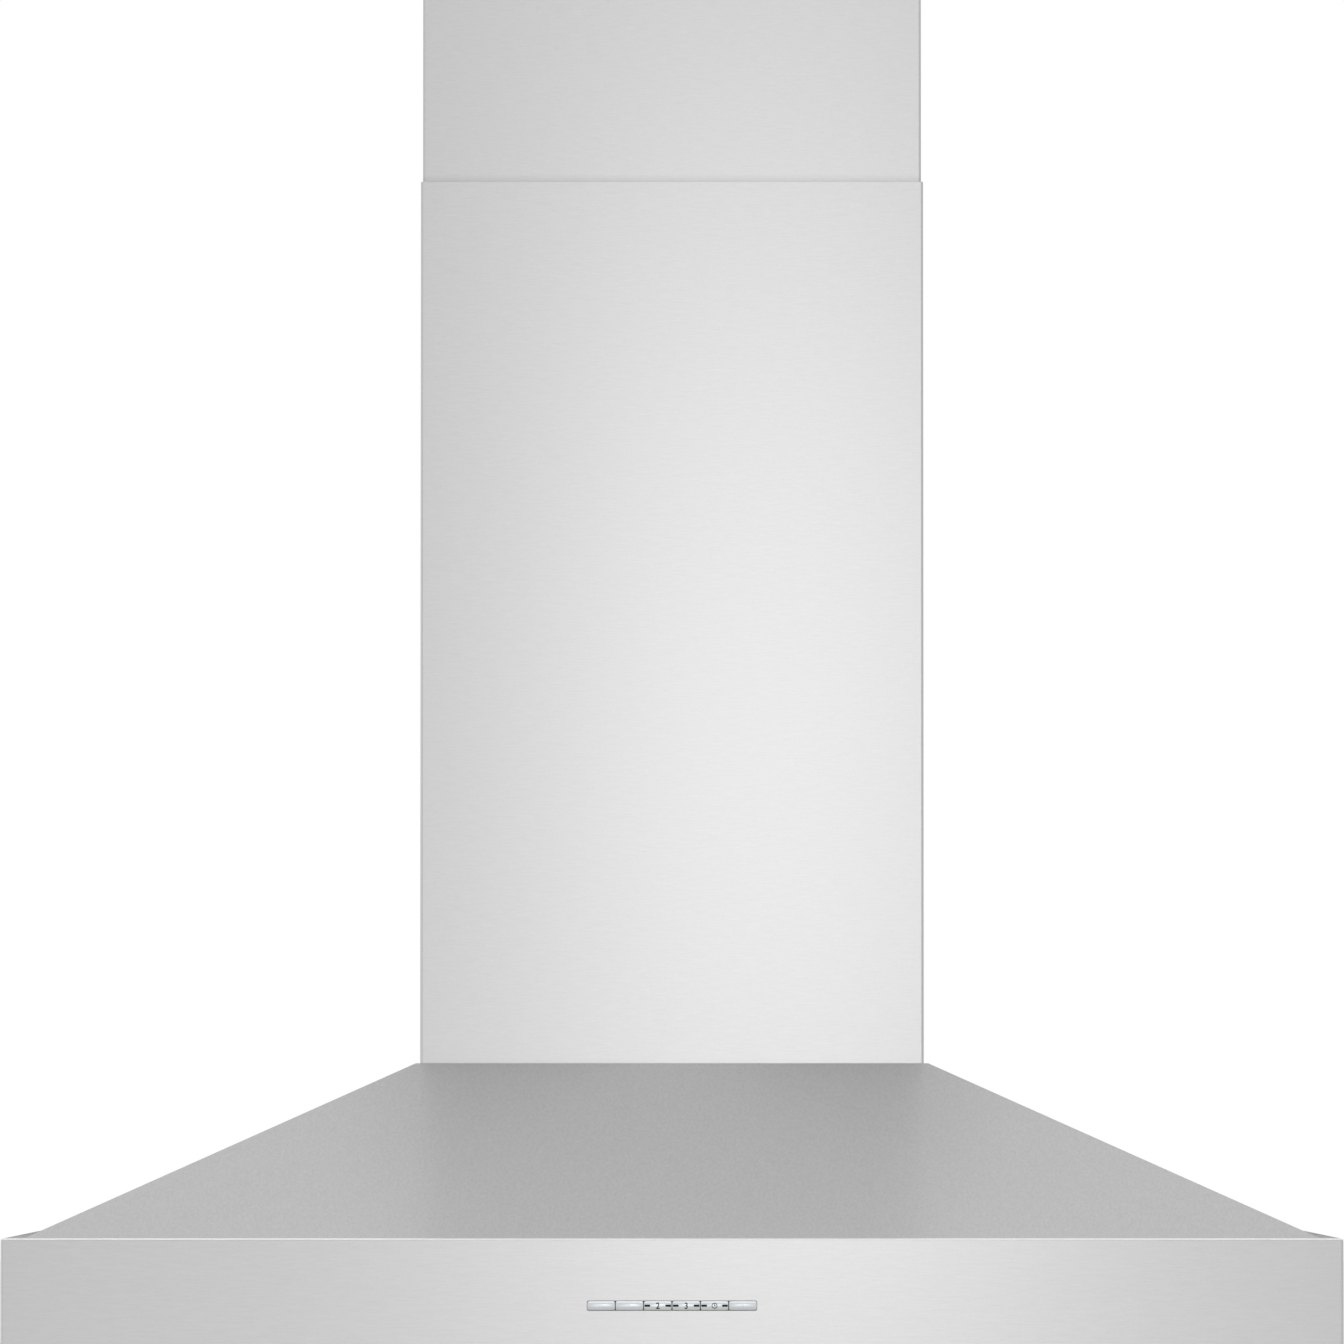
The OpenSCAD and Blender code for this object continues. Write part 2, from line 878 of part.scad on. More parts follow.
module motor_screws() {
    color(steel)
    on_shaft()
    for (a = [30, 150, 270])
        rotate(a)
            translate([hub_r + 1, 0, arm_x + arm_t])
                screw(arm_t);
}

module capacitor() {
    color("white")
    translate([cap_x - cap_l / 2, cap_y, cap_z])
        rotate([90, 0, 90]) {
            rotate_extrude()
                polygon([
                    [0, 0], [cap_r - 1.5, 0], [cap_r, 1.5],
                    [cap_r, cap_l - 3], [cap_r - 1, cap_l - 2], [cap_r - 1, cap_l], [0, cap_l]
                ]);
            for (y = [-5, 5])
                translate([-0.4, y - 3, cap_l])
                    cube([0.8, 6, 9]);
        }
}

// A saddle over the capacitor with a foot on each side
module capacitor_clip() {
    inside = cap_r + seat;
    outside = inside + clip_t;
    color(galvanised)
    along_x(cap_x - clip_w / 2, cap_x + clip_w / 2)
        translate([cap_y, cap_z])
            difference() {
                union() {
                    circle(outside);
                    translate([-outside, -inside])
                        square([2 * outside, inside]);
                    translate([-outside - clip_foot, -inside])
                        square([2 * (outside + clip_foot), clip_t]);
                }
                circle(inside);
                translate([-inside, -2 * inside])
                    square([2 * inside, 2 * inside]);
            }
}

module collar_screw_places() {
    for (a = [45:90:315])
        translate([0, collar_y, box_top])
            rotate(a)
                translate([collar_r + collar_flange / 2, 0, 0])
                    children();
}

module outlet_collar() {
    inner = collar_r - collar_t;
    stop_z = spindle_z - flap_t / 2 - seat - stop_t;
    color(plastic)
    difference() {
        translate([0, collar_y, box_top])
            rotate_extrude() {
                translate([inner, 0])
                    square([collar_t + collar_flange, 2]);
                translate([inner, 0])
                    square([collar_t, collar_h]);
                translate([inner - 3, stop_z - box_top])
                    square([3 + collar_t / 2, stop_t]);
            }
        collar_screw_places()
            translate([0, 0, -cut])
                cylinder(r = screw_hole_r, h = 2 + 2 * cut);
        along_x(-collar_r - cut, collar_r + cut)
            translate([collar_y, spindle_z])
                circle(spindle_r + running);
    }
}

module collar_screws() {
    color(steel)
    collar_screw_places()
        translate([0, 0, 2])
            screw(2 + zinc + 3);
}

module damper_spindle() {
    reach = collar_r - seat;
    color(steel)
    along_x(-reach, reach)
        translate([collar_y, spindle_z])
            circle(spindle_r);
}

// side is -1 for the flap towards the room and 1 for the one towards the wall
module damper_flap(side) {
    first = side < 0 ? 34 : 10;
    color(alloy)
    translate([0, collar_y, spindle_z])
    mirror([0, side < 0 ? 0 : 1, 0])
    difference() {
        union() {
            translate([0, 0, -flap_t / 2])
                linear_extrude(flap_t) {
                    intersection() {
                        circle(flap_r);
                        translate([-flap_r, -flap_r - flap_edge])
                            square([2 * flap_r, flap_r]);
                    }
                    for (s = [0, 1])
                        mirror([s, 0])
                            translate([first, -flap_edge - cut])
                                square([knuckle_l, flap_edge + cut]);
                }
            for (s = [0, 1])
                mirror([s, 0, 0])
                    along_x(first, first + knuckle_l)
                        circle(knuckle_r);
        }
        along_x(-flap_r, flap_r)
            circle(spindle_r + running);
    }
}

module junction_box() {
    color(galvanised)
    difference() {
        translate([jbox_x - jbox_w / 2, jbox_y - jbox_d / 2, box_top])
            cube([jbox_w, jbox_d, jbox_h]);
        translate([jbox_x - jbox_w / 2 + zinc, jbox_y - jbox_d / 2 - cut, box_top + zinc])
            cube([jbox_w - 2 * zinc, jbox_d - zinc + cut, jbox_h - 2 * zinc]);
        translate([jbox_x, jbox_y, box_top + jbox_h - zinc - cut])
            cylinder(r = knockout_r, h = zinc + 2 * cut);
    }
}

module junction_cover() {
    front = jbox_y - jbox_d / 2;
    color(galvanised)
    difference() {
        union() {
            translate([jbox_x - jbox_w / 2 - 2, front - zinc, box_top + seat])
                cube([jbox_w + 4, zinc, jbox_h + 2]);
            translate([jbox_x - jbox_w / 2 + 6, front - zinc / 2, box_top + zinc + seat])
                cube([jbox_w - 12, 8, zinc]);
        }
        for (s = [-1, 1])
            along_y(front - zinc - cut, front + cut)
                translate([jbox_x + s * jbox_w / 3, box_top + jbox_h - 8])
                    circle(screw_hole_r);
    }
}

// A closed electronics case on four feet, with cooling slots in its lid
module electronics_case(w, d, h) {
    difference() {
        union() {
            translate([0, 0, 2])
                linear_extrude(h - 2)
                    rounded_rect(w, d, 3);
            for (x = [-1, 1], y = [-1, 1])
                translate([x * (w / 2 - 8), y * (d / 2 - 8), 0])
                    cylinder(r = 5, h = 3);
        }
        for (i = [-3:3])
            translate([i * 8, 0, h - 2])
                linear_extrude(2 + cut)
                    rotate(90)
                        slot(d * 0.55, 1.5);
    }
}

module power_module() {
    color(plastic)
    translate([lamp_x / 2, lamp_y, pan_top])
        electronics_case(module_w, module_d, lamp_h + 4);
}

module lamp_driver() {
    color(plastic)
    translate([-lamp_x / 2, lamp_y, pan_top])
        electronics_case(driver_w, driver_d, lamp_h - 6);
}

module lamp_bezel(side) {
    low = recess - bezel_t;
    color(steel)
    translate([side * lamp_x, lamp_y, 0])
        rotate_extrude() {
            translate([lamp_r - 6, low])
                square([bezel_r - lamp_r + 6, bezel_t - 0.5]);
            translate([lamp_r - 2, low + 0.2])
                square([bezel_r - lamp_r + 2, bezel_t - 0.2]);
            translate([lamp_r - 2, low + 0.2])
                square([2, 20]);
        }
}

module lamp_lens(side) {
    color("white")
    translate([side * lamp_x, lamp_y, recess - 0.5])
        cylinder(r = lamp_r - 2 - seat, h = lens_t);
}

module lamp_heat_sink(side) {
    bottom = recess - 0.5 + lens_t + seat;
    outer = lamp_r - 2 - seat;
    color(alloy)
    translate([side * lamp_x, lamp_y, bottom])
    difference() {
        cylinder(r = outer, h = pan_top + lamp_h - bottom);
        for (i = [0:11])
            rotate(i * 30)
                translate([outer * 0.45, -1.6, 8])
                    cube([outer, 3.2, lamp_h + cut]);
    }
}

// Cavity for the latch: open below, with side lips that keep the latch in
module latch_cavity() {
    back = -frame_l + pocket_l - channel_t;
    front = -frame_l + 2 * channel_t;
    low = latch_low - seat;
    translate([-latch_w / 2 - latch_lip - seat, front, low])
        cube([latch_w + 2 * latch_lip + 2 * seat, back - front, groove_z - low]);
    translate([-latch_w / 2 - seat, front, -filter_t / 2 - cut])
        cube([latch_w + 2 * seat, back - front, filter_t / 2]);
    translate([-tongue_w / 2 - seat, -frame_l - cut, low])
        cube([tongue_w + 2 * seat, 4 * channel_t + cut, tongue_t + 2 * seat]);
}

module filter_frame(x) {
    color(alloy)
    translate([x, hinge_y, hinge_z])
    difference() {
        union() {
            difference() {
                along_x(-frame_w / 2, frame_w / 2) {
                    circle(filter_t / 2);
                    translate([-frame_l, -filter_t / 2])
                        square([frame_l, filter_t]);
                }
                translate([-frame_w / 2 + channel_t, -frame_l + channel_t, -groove_z])
                    cube([frame_w - 2 * channel_t, frame_l - 2 * channel_t, 2 * groove_z]);
                translate([-frame_w / 2 + channel_w, -frame_l + channel_w, -filter_t])
                    cube([frame_w - 2 * channel_w, frame_l + filter_t / 2 - 2 * channel_w, 2 * filter_t]);
            }
            translate([-pocket_w / 2, -frame_l, -filter_t / 2])
                cube([pocket_w, pocket_l, filter_t]);
            for (s = [0, 1])
                mirror([s, 0, 0])
                    along_x(frame_w / 2 - cut, bay_w / 2 + 2 * sheet)
                        circle(hinge_r);
        }
        latch_cavity();
    }
}

// One layer of expanded metal, notched round the latch's pocket
module mesh_layer(cell_l, cell_h, shift) {
    half = frame_w / 2 - channel_t - seat;
    near = -channel_t - seat;
    far = -frame_l + channel_t + seat;
    notch_x = pocket_w / 2 + seat;
    notch_y = -frame_l + pocket_l + seat;
    outline = [
        [-half, near], [-half, far], [-notch_x, far], [-notch_x, notch_y],
        [notch_x, notch_y], [notch_x, far], [half, far], [half, near]
    ];
    open_x = frame_w / 2 - channel_w - cell_l / 2;
    open_near = -channel_w + filter_t / 2 - cell_h / 2;
    open_far = -frame_l + channel_w + cell_h / 2;
    cols = floor(open_x / cell_l);
    rows = floor((open_near - open_far) / cell_h * 2);
    middle = (open_near + open_far) / 2;
    centres = [for (j = [0:rows], i = [-cols - 1:cols])
        let (odd = (j + shift) % 2, x = (i + odd / 2) * cell_l, y = middle + (j - rows / 2) * cell_h / 2)
        if (abs(x) <= open_x && (abs(x) > notch_x + cell_l / 2 || y > notch_y + cell_h / 2)) [x, y]];
    dx = cell_l / 2 - strand / 2 * cell_l / cell_h;
    dy = cell_h / 2 - strand / 2;
    holes = [for (c = centres, p = [[-dx, 0], [0, -dy], [dx, 0], [0, dy]]) c + p];
    count = len(outline);
    polygon(
        concat(outline, holes),
        concat([[for (i = [0:count - 1]) i]],
            [for (k = [0:len(centres) - 1]) [for (i = [0:3]) count + 4 * k + i]])
    );
}

module filter_mesh(x) {
    color(alloy)
    translate([x, hinge_y, hinge_z]) {
        translate([0, 0, -groove_z])
            linear_extrude(layer_t)
                mesh_layer(diamond_l, diamond_h, 0);
        translate([0, 0, groove_z - layer_t])
            linear_extrude(layer_t)
                mesh_layer(2 * diamond_l, 2 * diamond_h, 1);
    }
}

// Drawn back; it slides forwards into the slot in the opening's front lip
module filter_latch(x) {
    front = -frame_l + 2 * channel_t + seat + latch_travel;
    high = groove_z - seat;
    color(plastic)
    translate([x, hinge_y, hinge_z])
    difference() {
        union() {
            translate([-latch_w / 2 - latch_lip, front, latch_low])
                cube([latch_w + 2 * latch_lip, latch_l, high - latch_low]);
            translate([-latch_w / 2, front, -filter_t / 2 + seat])
                cube([latch_w, latch_l, filter_t / 2]);
            translate([-tongue_w / 2, -frame_l + seat, latch_low])
                cube([tongue_w, latch_travel + 3 * channel_t, tongue_t]);
        }
        translate([0, front + latch_l / 2, -filter_t])
            rotate([0, 90, 0])
                translate([0, 0, -latch_w / 2 + 4])
                    cylinder(r = filter_t * 0.78, h = latch_w - 8);
    }
}

module control_housing() {
    color(plastic)
    difference() {
        along_y(panel_back, board_y)
            translate([0, button_z])
                rounded_rect(housing_w, housing_h, 3);
        along_y(panel_back - cut, pocket_y)
            translate([0, button_z])
                square([row_w, button_h + 2 * button_ear + 2 * seat], center = true);
        for (x = row_x)
            along_y(pocket_y - cut, guide_y + cut)
                translate([x, button_z])
                    square([stem_w + 2 * seat, stem_h + 2 * seat], center = true);
        along_y(guide_y, board_y + cut)
            translate([0, button_z])
                square([row_w, housing_h - 6], center = true);
        for (s = [-1, 1])
            along_y(panel_back - cut, board_y + cut)
                translate([s * stud_x, button_z])
                    circle(stud_r + seat);
    }
}

module control_board() {
    color("darkgreen")
    difference() {
        along_y(board_y, board_y + board_t)
            translate([0, button_z])
                rounded_rect(housing_w - 2, housing_h - 2, 2);
        for (s = [-1, 1])
            along_y(board_y - cut, board_y + board_t + cut)
                translate([s * stud_x, button_z])
                    circle(stud_r + seat);
    }
}

module key_switches() {
    color("black")
    for (x = row_x)
        translate([x, 0, button_z]) {
            along_y(board_y - 2.6, board_y)
                square(6, center = true);
            along_y(switch_top, board_y - 2)
                circle(1.7);
        }
}

// A button's face is part of a cylinder that lies along the row
module button(i) {
    rise_r = (pow(button_h / 2, 2) + pow(button_out, 2)) / (2 * button_out);
    face_y = -canopy_d - button_out;
    color(steel)
    translate([row_x[i], 0, button_z]) {
        intersection() {
            along_y(face_y - cut, panel_back + seat)
                rounded_rect(button_w, button_h, button_corner);
            along_x(-button_w, button_w) {
                translate([face_y + rise_r, 0])
                    circle(rise_r);
                translate([-canopy_d, -button_h])
                    square([2 * sheet, 2 * button_h]);
            }
        }
        along_y(panel_back + seat / 2, panel_back + seat / 2 + button_flange)
            square([button_w, button_h + 2 * button_ear], center = true);
        along_y(panel_back + button_flange, stem_y)
            square([stem_w, stem_h], center = true);
    }
}

canopy_shell();
rear_panel();
hang_plate(-1);  // hang_plate_left
hang_plate(1);  // hang_plate_right
under_panel();
panel_screws();
lower_cover();
upper_cover();
wall_bracket();
bracket_screws();
cover_angle(-1);  // cover_angle_left
cover_angle(1);  // cover_angle_right
cover_screws();
blower_box();
box_screws();
scroll(-1);  // scroll_left
scroll(1);  // scroll_right
inlet_ring(-1);  // inlet_ring_left
inlet_ring(1);  // inlet_ring_right
impeller();
motor_shaft();
motor_body();
motor_bracket();
motor_screws();
capacitor();
capacitor_clip();
outlet_collar();
collar_screws();
damper_spindle();
damper_flap(-1);  // damper_flap_front
damper_flap(1);  // damper_flap_rear
junction_box();
junction_cover();
power_module();
lamp_driver();
lamp_bezel(-1);  // lamp_bezel_left
lamp_bezel(1);  // lamp_bezel_right
lamp_lens(-1);  // lamp_lens_left
lamp_lens(1);  // lamp_lens_right
lamp_heat_sink(-1);  // lamp_heat_sink_left
lamp_heat_sink(1);  // lamp_heat_sink_right
filter_frame(bays[0]);  // filter_frame_left
filter_frame(bays[1]);  // filter_frame_middle
filter_frame(bays[2]);  // filter_frame_right
filter_mesh(bays[0]);  // filter_mesh_left
filter_mesh(bays[1]);  // filter_mesh_middle
filter_mesh(bays[2]);  // filter_mesh_right
filter_latch(bays[0]);  // filter_latch_left
filter_latch(bays[1]);  // filter_latch_middle
filter_latch(bays[2]);  // filter_latch_right
control_housing();
control_board();
key_switches();
button(0);  // button_light
button(1);  // button_speed_1
button(2);  // button_speed_2
button(3);  // button_speed_3
button(4);  // button_timer
button(5);  // button_boost
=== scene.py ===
"""Wall mount range hood: its finishes, push buttons, expanded-metal filters, screws and studio."""
import functools
import math

import bmesh
import bpy
from mathutils import Matrix, Vector


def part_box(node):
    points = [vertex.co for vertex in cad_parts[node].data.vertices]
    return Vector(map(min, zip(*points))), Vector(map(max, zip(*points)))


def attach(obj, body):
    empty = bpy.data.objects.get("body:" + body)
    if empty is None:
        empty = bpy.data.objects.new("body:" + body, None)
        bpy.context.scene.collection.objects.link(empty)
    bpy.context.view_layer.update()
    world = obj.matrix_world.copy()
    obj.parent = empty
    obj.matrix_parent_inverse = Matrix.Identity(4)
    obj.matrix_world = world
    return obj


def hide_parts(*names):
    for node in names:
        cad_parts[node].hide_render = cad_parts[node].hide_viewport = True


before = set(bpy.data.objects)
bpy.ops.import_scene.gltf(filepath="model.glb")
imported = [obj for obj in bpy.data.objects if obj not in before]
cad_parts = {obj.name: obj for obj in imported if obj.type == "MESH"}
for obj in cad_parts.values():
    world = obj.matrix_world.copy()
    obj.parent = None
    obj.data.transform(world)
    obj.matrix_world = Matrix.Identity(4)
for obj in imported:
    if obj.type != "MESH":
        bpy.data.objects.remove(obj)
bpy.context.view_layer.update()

bl_info = {
    "name": "Wall mount range hood",
    "version": (1, 0, 0),
    "blender": (4, 5, 0),
    "location": "3D View > Sidebar > Hood",
    "description": "Dresses the range hood's frame in its real finishes and builds its finer pieces",
    "category": "Object",
}

MM = 0.001
SIDES = ("left", "right")
FILTERS = ("left", "middle", "right")
KEYS = ("light", "speed_1", "speed_2", "speed_3", "timer", "boost")
DARK_MARKS = ("speed_2", "speed_3", "timer")
# Level strips in a button's face, and sides of a round sign or head and of a screw's shank
KEY_STRIPS = 26
CIRCLE_SIDES = 40
SHANK_SIDES = 24
# Points nearer to each other than this are one point, and points nearer to a cut than this lie on it
SAME_POINT = 0.001 * MM
ON_CUT = 1e-7
# An edge is sharp where its faces turn by more than this
SHARP = math.radians(35)
SCREWS = {
    "panel_screws": "root", "cover_screws": "root", "box_screws": "root", "motor_screws": "root",
    "collar_screws": "root", "bracket_screws": "upper_chimney",
}

# The brushing belt's lines in millimetres along X, Y and Z. They are 0.1 to 0.2 mm thick on the real sheet,
# and are drawn as thick as the photo's pixels show them
UPRIGHT_LINES = (12, 12, 0.6)
LEVEL_LINES = (12, 0.7, 0.7)
SHEET_SPECKLE = (2.0, 1.2, 1.0)
SLOPE_SPECKLE = (1.6, 12, 1.6)

# A pan-head screw: its head's height is a share of the head's radius, and the round of the head and the
# depth of its recess are shares of that height
HEAD_HEIGHT = 0.61
HEAD_ROUND = 0.42
RECESS_DEPTH = 0.62

# Soft boxes: place, turn, size and watts. The first two stand in front of the hood, and the upright sheets
# mirror them. The top one hangs above it, and the slopes mirror it. The left one lights the folds at that
# side.
LAMPS = {
    "front_box": ((0.09, -2.3, 0.52), (math.pi / 2, 0, 0), (0.38, 0.68), 1.85),
    "low_box": ((0, -2.3, -0.12), (math.pi / 2, 0, 0), (1.25, 0.36), 1.2),
    "top_box": ((0, -0.9, 2.0), (0, 0, 0), (1.6, 0.5), 4.2),
    "left_box": ((-2.5, -0.95, 0.3), (math.pi / 2, 0, math.radians(-75)), (1.4, 2.0), 4.2),
}


def linear_rgb(srgb_hex):
    """The linear colour, with its alpha, that a shader needs for an sRGB hex value."""
    parts = [int(srgb_hex[i:i + 2], 16) / 255 for i in (1, 3, 5)]
    return tuple(c / 12.92 if c <= 0.04045 else ((c + 0.055) / 1.055) ** 2.4 for c in parts) + (1.0,)


def colour(label, about, srgb_hex):
    """A colour that a user can change, from an sRGB hex value."""
    return bpy.props.FloatVectorProperty(
        name=label, description=about, subtype="COLOR", size=4, min=0, max=1, default=linear_rgb(srgb_hex))


def number(label, about, value, **kind):
    """A number that a user can change, with its unit, subtype and limits."""
    return bpy.props.FloatProperty(name=label, description=about, default=value, **kind)


def length(label, about, millimetres):
    """A length that a user can change."""
    return number(label, about, millimetres * MM, unit="LENGTH", subtype="DISTANCE", min=0, precision=5)


def share(label, about, value):
    """A share of one that a user can change."""
    return number(label, about, value, subtype="FACTOR", min=0, max=1)


class HoodFinishes(bpy.types.PropertyGroup):
    """Colours of the hood's materials, and the light and shade painted on them"""
    stainless: colour("Stainless steel", "Brushed sheet of the canopy and the chimney", "#BCBCBC")
    galvanised: colour("Galvanised sheet", "Zinc coat of the blower's box and the rear panel", "#BFC4C8")
    zinc: colour("Zinc plating", "Bright coat of the screws and brackets", "#C9CBC8")
    ground: colour("Ground steel", "Shaft and damper spindle", "#BDBDBE")
    cast: colour("Cast aluminium", "Motor body and lamp heat sinks", "#B9BABD")
    rolled: colour("Rolled aluminium", "Filter frames and damper flaps", "#D6D8DA")
    expanded: colour("Expanded aluminium", "Filter mesh", "#CDD0D2")
    plastic: colour("Moulded plastic", "Scrolls, latches and housings", "#3A3B3D")
    white_plastic: colour("White plastic", "Capacitor and lamp driver", "#DFDFDA")
    grey_plastic: colour("Grey plastic", "Holders of the buttons' caps", "#B4B6B8")
    chrome: colour("Chrome", "Lamp bezels", "#DCDDDE")
    plating: colour("Button plating", "Satin plating of the push buttons", "#CBCED0")
    ink: colour("Dark print", "Marks on the buttons", "#1C1E20")
    pale_ink: colour("Pale print", "Light window marks on the buttons", "#D2DBE0")
    glass: colour("Frosted glass", "Lamp lenses", "#F2F5F5")
    solder_mask: colour("Solder mask", "Circuit board", "#1E5A34")
    # Painted highlight: how much brighter the colour of the fold round the ledge is drawn
    fold_highlight: number("Highlight", "How much brighter the fold round the ledge is", 1.75, min=1)
    # Painted shade: how much of its colour the band at the seam between the covers keeps
    seam_shade: share("Shade", "How much of its brightness the shaded band keeps", 0.86)


class HoodSizes(bpy.types.PropertyGroup):
    """Sizes of the pieces that are finer than their solids, and of the light and shade painted on the sheet
    """
    key_height: length("Button height", "Height of a button's face", 6.5)
    key_rise: length("Button rise", "How far the button's face bulges out", 1.4)
    key_corner: length("Button corner", "Radius of a button's corners, seen from the front", 1.6)
    key_edge: length("Button edge", "Radius of the edge round a button's face", 0.28)
    key_body: length("Button body", "Depth of a button's body behind its bulge", 1.3)
    key_step: length("Button step", "How far a button's shoulder stays inside its cap", 0.1)
    key_flange: length("Button flange", "Thickness of the flange that keeps a button in", 1.05)
    stem_width: length("Button stem width", "Width of the stem that works the switch", 8)
    stem_height: length("Button stem height", "Height of the stem that works the switch", 3.6)
    ink_film: length("Ink film", "How far a print stands off the button", 0.05)
    dash_offset: length("Dash offset", "Distance of a dash from the button's middle", 7.0)
    digit_height: length("Digit height", "Height of a printed number", 4.4)
    dash_length: length("Dash length", "Length of a printed dash", 3.8)
    dash_height: length("Dash height", "Height of a printed dash", 1.45)
    mark_line: length("Mark line", "Width of the lines that the buttons' signs are drawn with", 0.5)
    cell_length: length("Mesh cell length", "Length of a diamond in the filter's outer layers", 14)
    cell_height: length("Mesh cell height", "Height of a diamond in the filter's outer layers", 7)
    strand: length("Mesh strand", "Width of a strand in the filter mesh", 1.4)
    foil: length("Mesh foil", "Thickness of the filter mesh", 0.5)
    mesh_wave: length("Mesh wave", "How far the knots of the filter mesh stand up and down", 0.5)
    pocket_width: length("Latch pocket width", "Width of the notch for the latch's pocket", 62.6)
    pocket_depth: length("Latch pocket depth", "Depth of the notch for the latch's pocket", 29)
    recess_width: length("Screw recess", "Length of the cross in a screw's head", 4.2)
    recess_blade: length("Screw blade", "Width of the cross's arms", 0.9)
    # Painted shade at the seam between the covers: how far it reaches
    shade_reach: length("Shaded band", "How far the shaded band reaches from the lower cover's mouth", 5.5)
    panel_height: length("Panel height", "Height of the front panel, up to the ledge", 87)
    fold_radius: length("Fold radius", "Outer radius of the folds in the sheet", 1.6)


class HoodStudio(bpy.types.PropertyGroup):
    """Camera, floor and light"""
    floor: colour("Floor", "Colour of the floor", "#F2F2F2")
    floor_drop: length("Floor drop", "Distance of the floor below the hood", 700)
    floor_reach: length("Floor reach", "Distance from the floor's middle to its edges", 60000)
    floor_glow: share("Floor glow", "Share of pure white in the floor as it is seen", 0.6)
    card: colour("Card", "Colour of the card behind the hood", "#C4C4C4")
    card_place: length("Card place", "Distance of the card behind the wall plane", 900)
    card_width: length("Card width", "Width of the card", 3600)
    card_height: length("Card height", "Height of the card", 1000)
    card_rise: length("Card rise", "Height of the card's middle", 250)
    camera_distance: length("Camera distance", "Distance of the camera from the wall", 8900)
    camera_height: length("Camera height", "Height of the camera above the hood's bottom", 179.4)
    camera_tilt: number("Camera tilt", "How far the camera looks up", math.radians(1.96), subtype="ANGLE")
    camera_lens: number("Camera lens", "Focal length in millimetres", 335.4, unit="CAMERA")
    camera_sensor: number("Camera sensor", "Width of the sensor in millimetres", 36, unit="CAMERA")
    camera_reach: length("Camera reach", "Distance up to which the camera sees", 200000)
    room_light: number("Room light", "Strength of the even light from all round", 0.8, min=0)


def add_node(tree, kind, sockets=None, **settings):
    """Adds a node, applies its settings, and fills or links the sockets that are named or numbered."""
    made = tree.nodes.new(kind)
    for name, value in settings.items():
        setattr(made, name, value)
    for socket, value in (sockets or {}).items():
        if isinstance(value, bpy.types.NodeSocket):
            tree.links.new(value, made.inputs[socket])
        else:
            made.inputs[socket].default_value = value
    return made


def surface(name, base, pattern, shades, gloss, depth, raised=None, sockets=None):
    """A material whose colour, roughness and relief follow a pattern that runs from 0 to 1.

    shades are the factors of the base colour at 0 and at 1, gloss is the roughness there, and depth is the
    height of the relief in millimetres. Where there is a raised pattern, the relief follows that."""
    material = bpy.data.materials.new(name)
    material.use_nodes = True
    tree = material.node_tree
    tree.nodes.clear()
    level = pattern(tree)
    dark, light = ([min(c * shade, 1.0) for c in base[:3]] + [1.0] for shade in shades)
    tone = add_node(tree, "ShaderNodeMix", {0: level, 6: dark, 7: light}, data_type="RGBA")
    rough = add_node(tree, "ShaderNodeMapRange", {"Value": level, "To Min": gloss[0], "To Max": gloss[1]})
    height = raised(tree) if raised else level
    bump = add_node(tree, "ShaderNodeBump", {"Height": height, "Distance": depth * MM})
    shader = add_node(tree, "ShaderNodeBsdfPrincipled", {
        "Base Color": tone.outputs[2], "Roughness": rough.outputs[0], "Normal": bump.outputs[0],
        **(sockets or {})})
    add_node(tree, "ShaderNodeOutputMaterial", {"Surface": shader.outputs[0]})
    return material


def piece_axes(tree):
    """The X, Y and Z of a point in its piece's own coordinates, as sockets."""
    place = add_node(tree, "ShaderNodeTexCoord")
    return add_node(tree, "ShaderNodeSeparateXYZ", {0: place.outputs["Object"]}).outputs


def grain(size, detail=2.0):
    """A pattern of noise whose grains have this size in millimetres along X, Y and Z."""
    def pattern(tree):
        # Nearly all of a noise texture lies between these two
        least, most = 0.3, 0.7
        place = add_node(tree, "ShaderNodeTexCoord")
        scaled = add_node(tree, "ShaderNodeMapping", {
            "Vector": place.outputs["Object"], "Scale": [1 / (s * MM) for s in size]})
        noise = add_node(tree, "ShaderNodeTexNoise", {
            "Vector": scaled.outputs[0], "Scale": 1.0, "Detail": detail})
        return add_node(tree, "ShaderNodeMapRange", {
            "Value": noise.outputs[0], "From Min": least, "From Max": most}).outputs[0]
    return pattern


def brushing(size, speckle_share=0.3):
    """A pattern of brushing lines of this size in millimetres, with a fine speckle over them."""
    def pattern(tree):
        lines = grain(size, detail=3.0)(tree)
        speckle = grain(SHEET_SPECKLE, detail=1.0)(tree)
        return add_node(tree, "ShaderNodeMix", {0: speckle_share, 2: lines, 3: speckle}).outputs[0]
    return pattern


def canopy_brushing(tree):
    """Brushing lines on the front panel, and a speckle above the ledge.

    The slopes are seen at a flat angle, where their lines close up to a speckle."""
    ledge = bpy.context.scene.hood_sizes.panel_height
    sloped = add_node(tree, "ShaderNodeMapRange", {
        "Value": piece_axes(tree)[2], "From Min": ledge, "From Max": ledge + MM})
    lines = brushing(UPRIGHT_LINES)(tree)
    speckle = grain(SLOPE_SPECKLE, detail=1.0)(tree)
    return add_node(tree, "ShaderNodeMix", {0: sloped.outputs[0], 2: lines, 3: speckle}).outputs[0]


def spangles(tree):
    """Crystals of zinc 6 to 10 mm across, each with a level of its own."""
    across = 8 * MM
    place = add_node(tree, "ShaderNodeTexCoord")
    crystal = add_node(tree, "ShaderNodeTexVoronoi", {
        "Vector": place.outputs["Object"], "Scale": 1 / across})
    return add_node(tree, "ShaderNodeSeparateColor", {"Color": crystal.outputs["Color"]}).outputs[0]


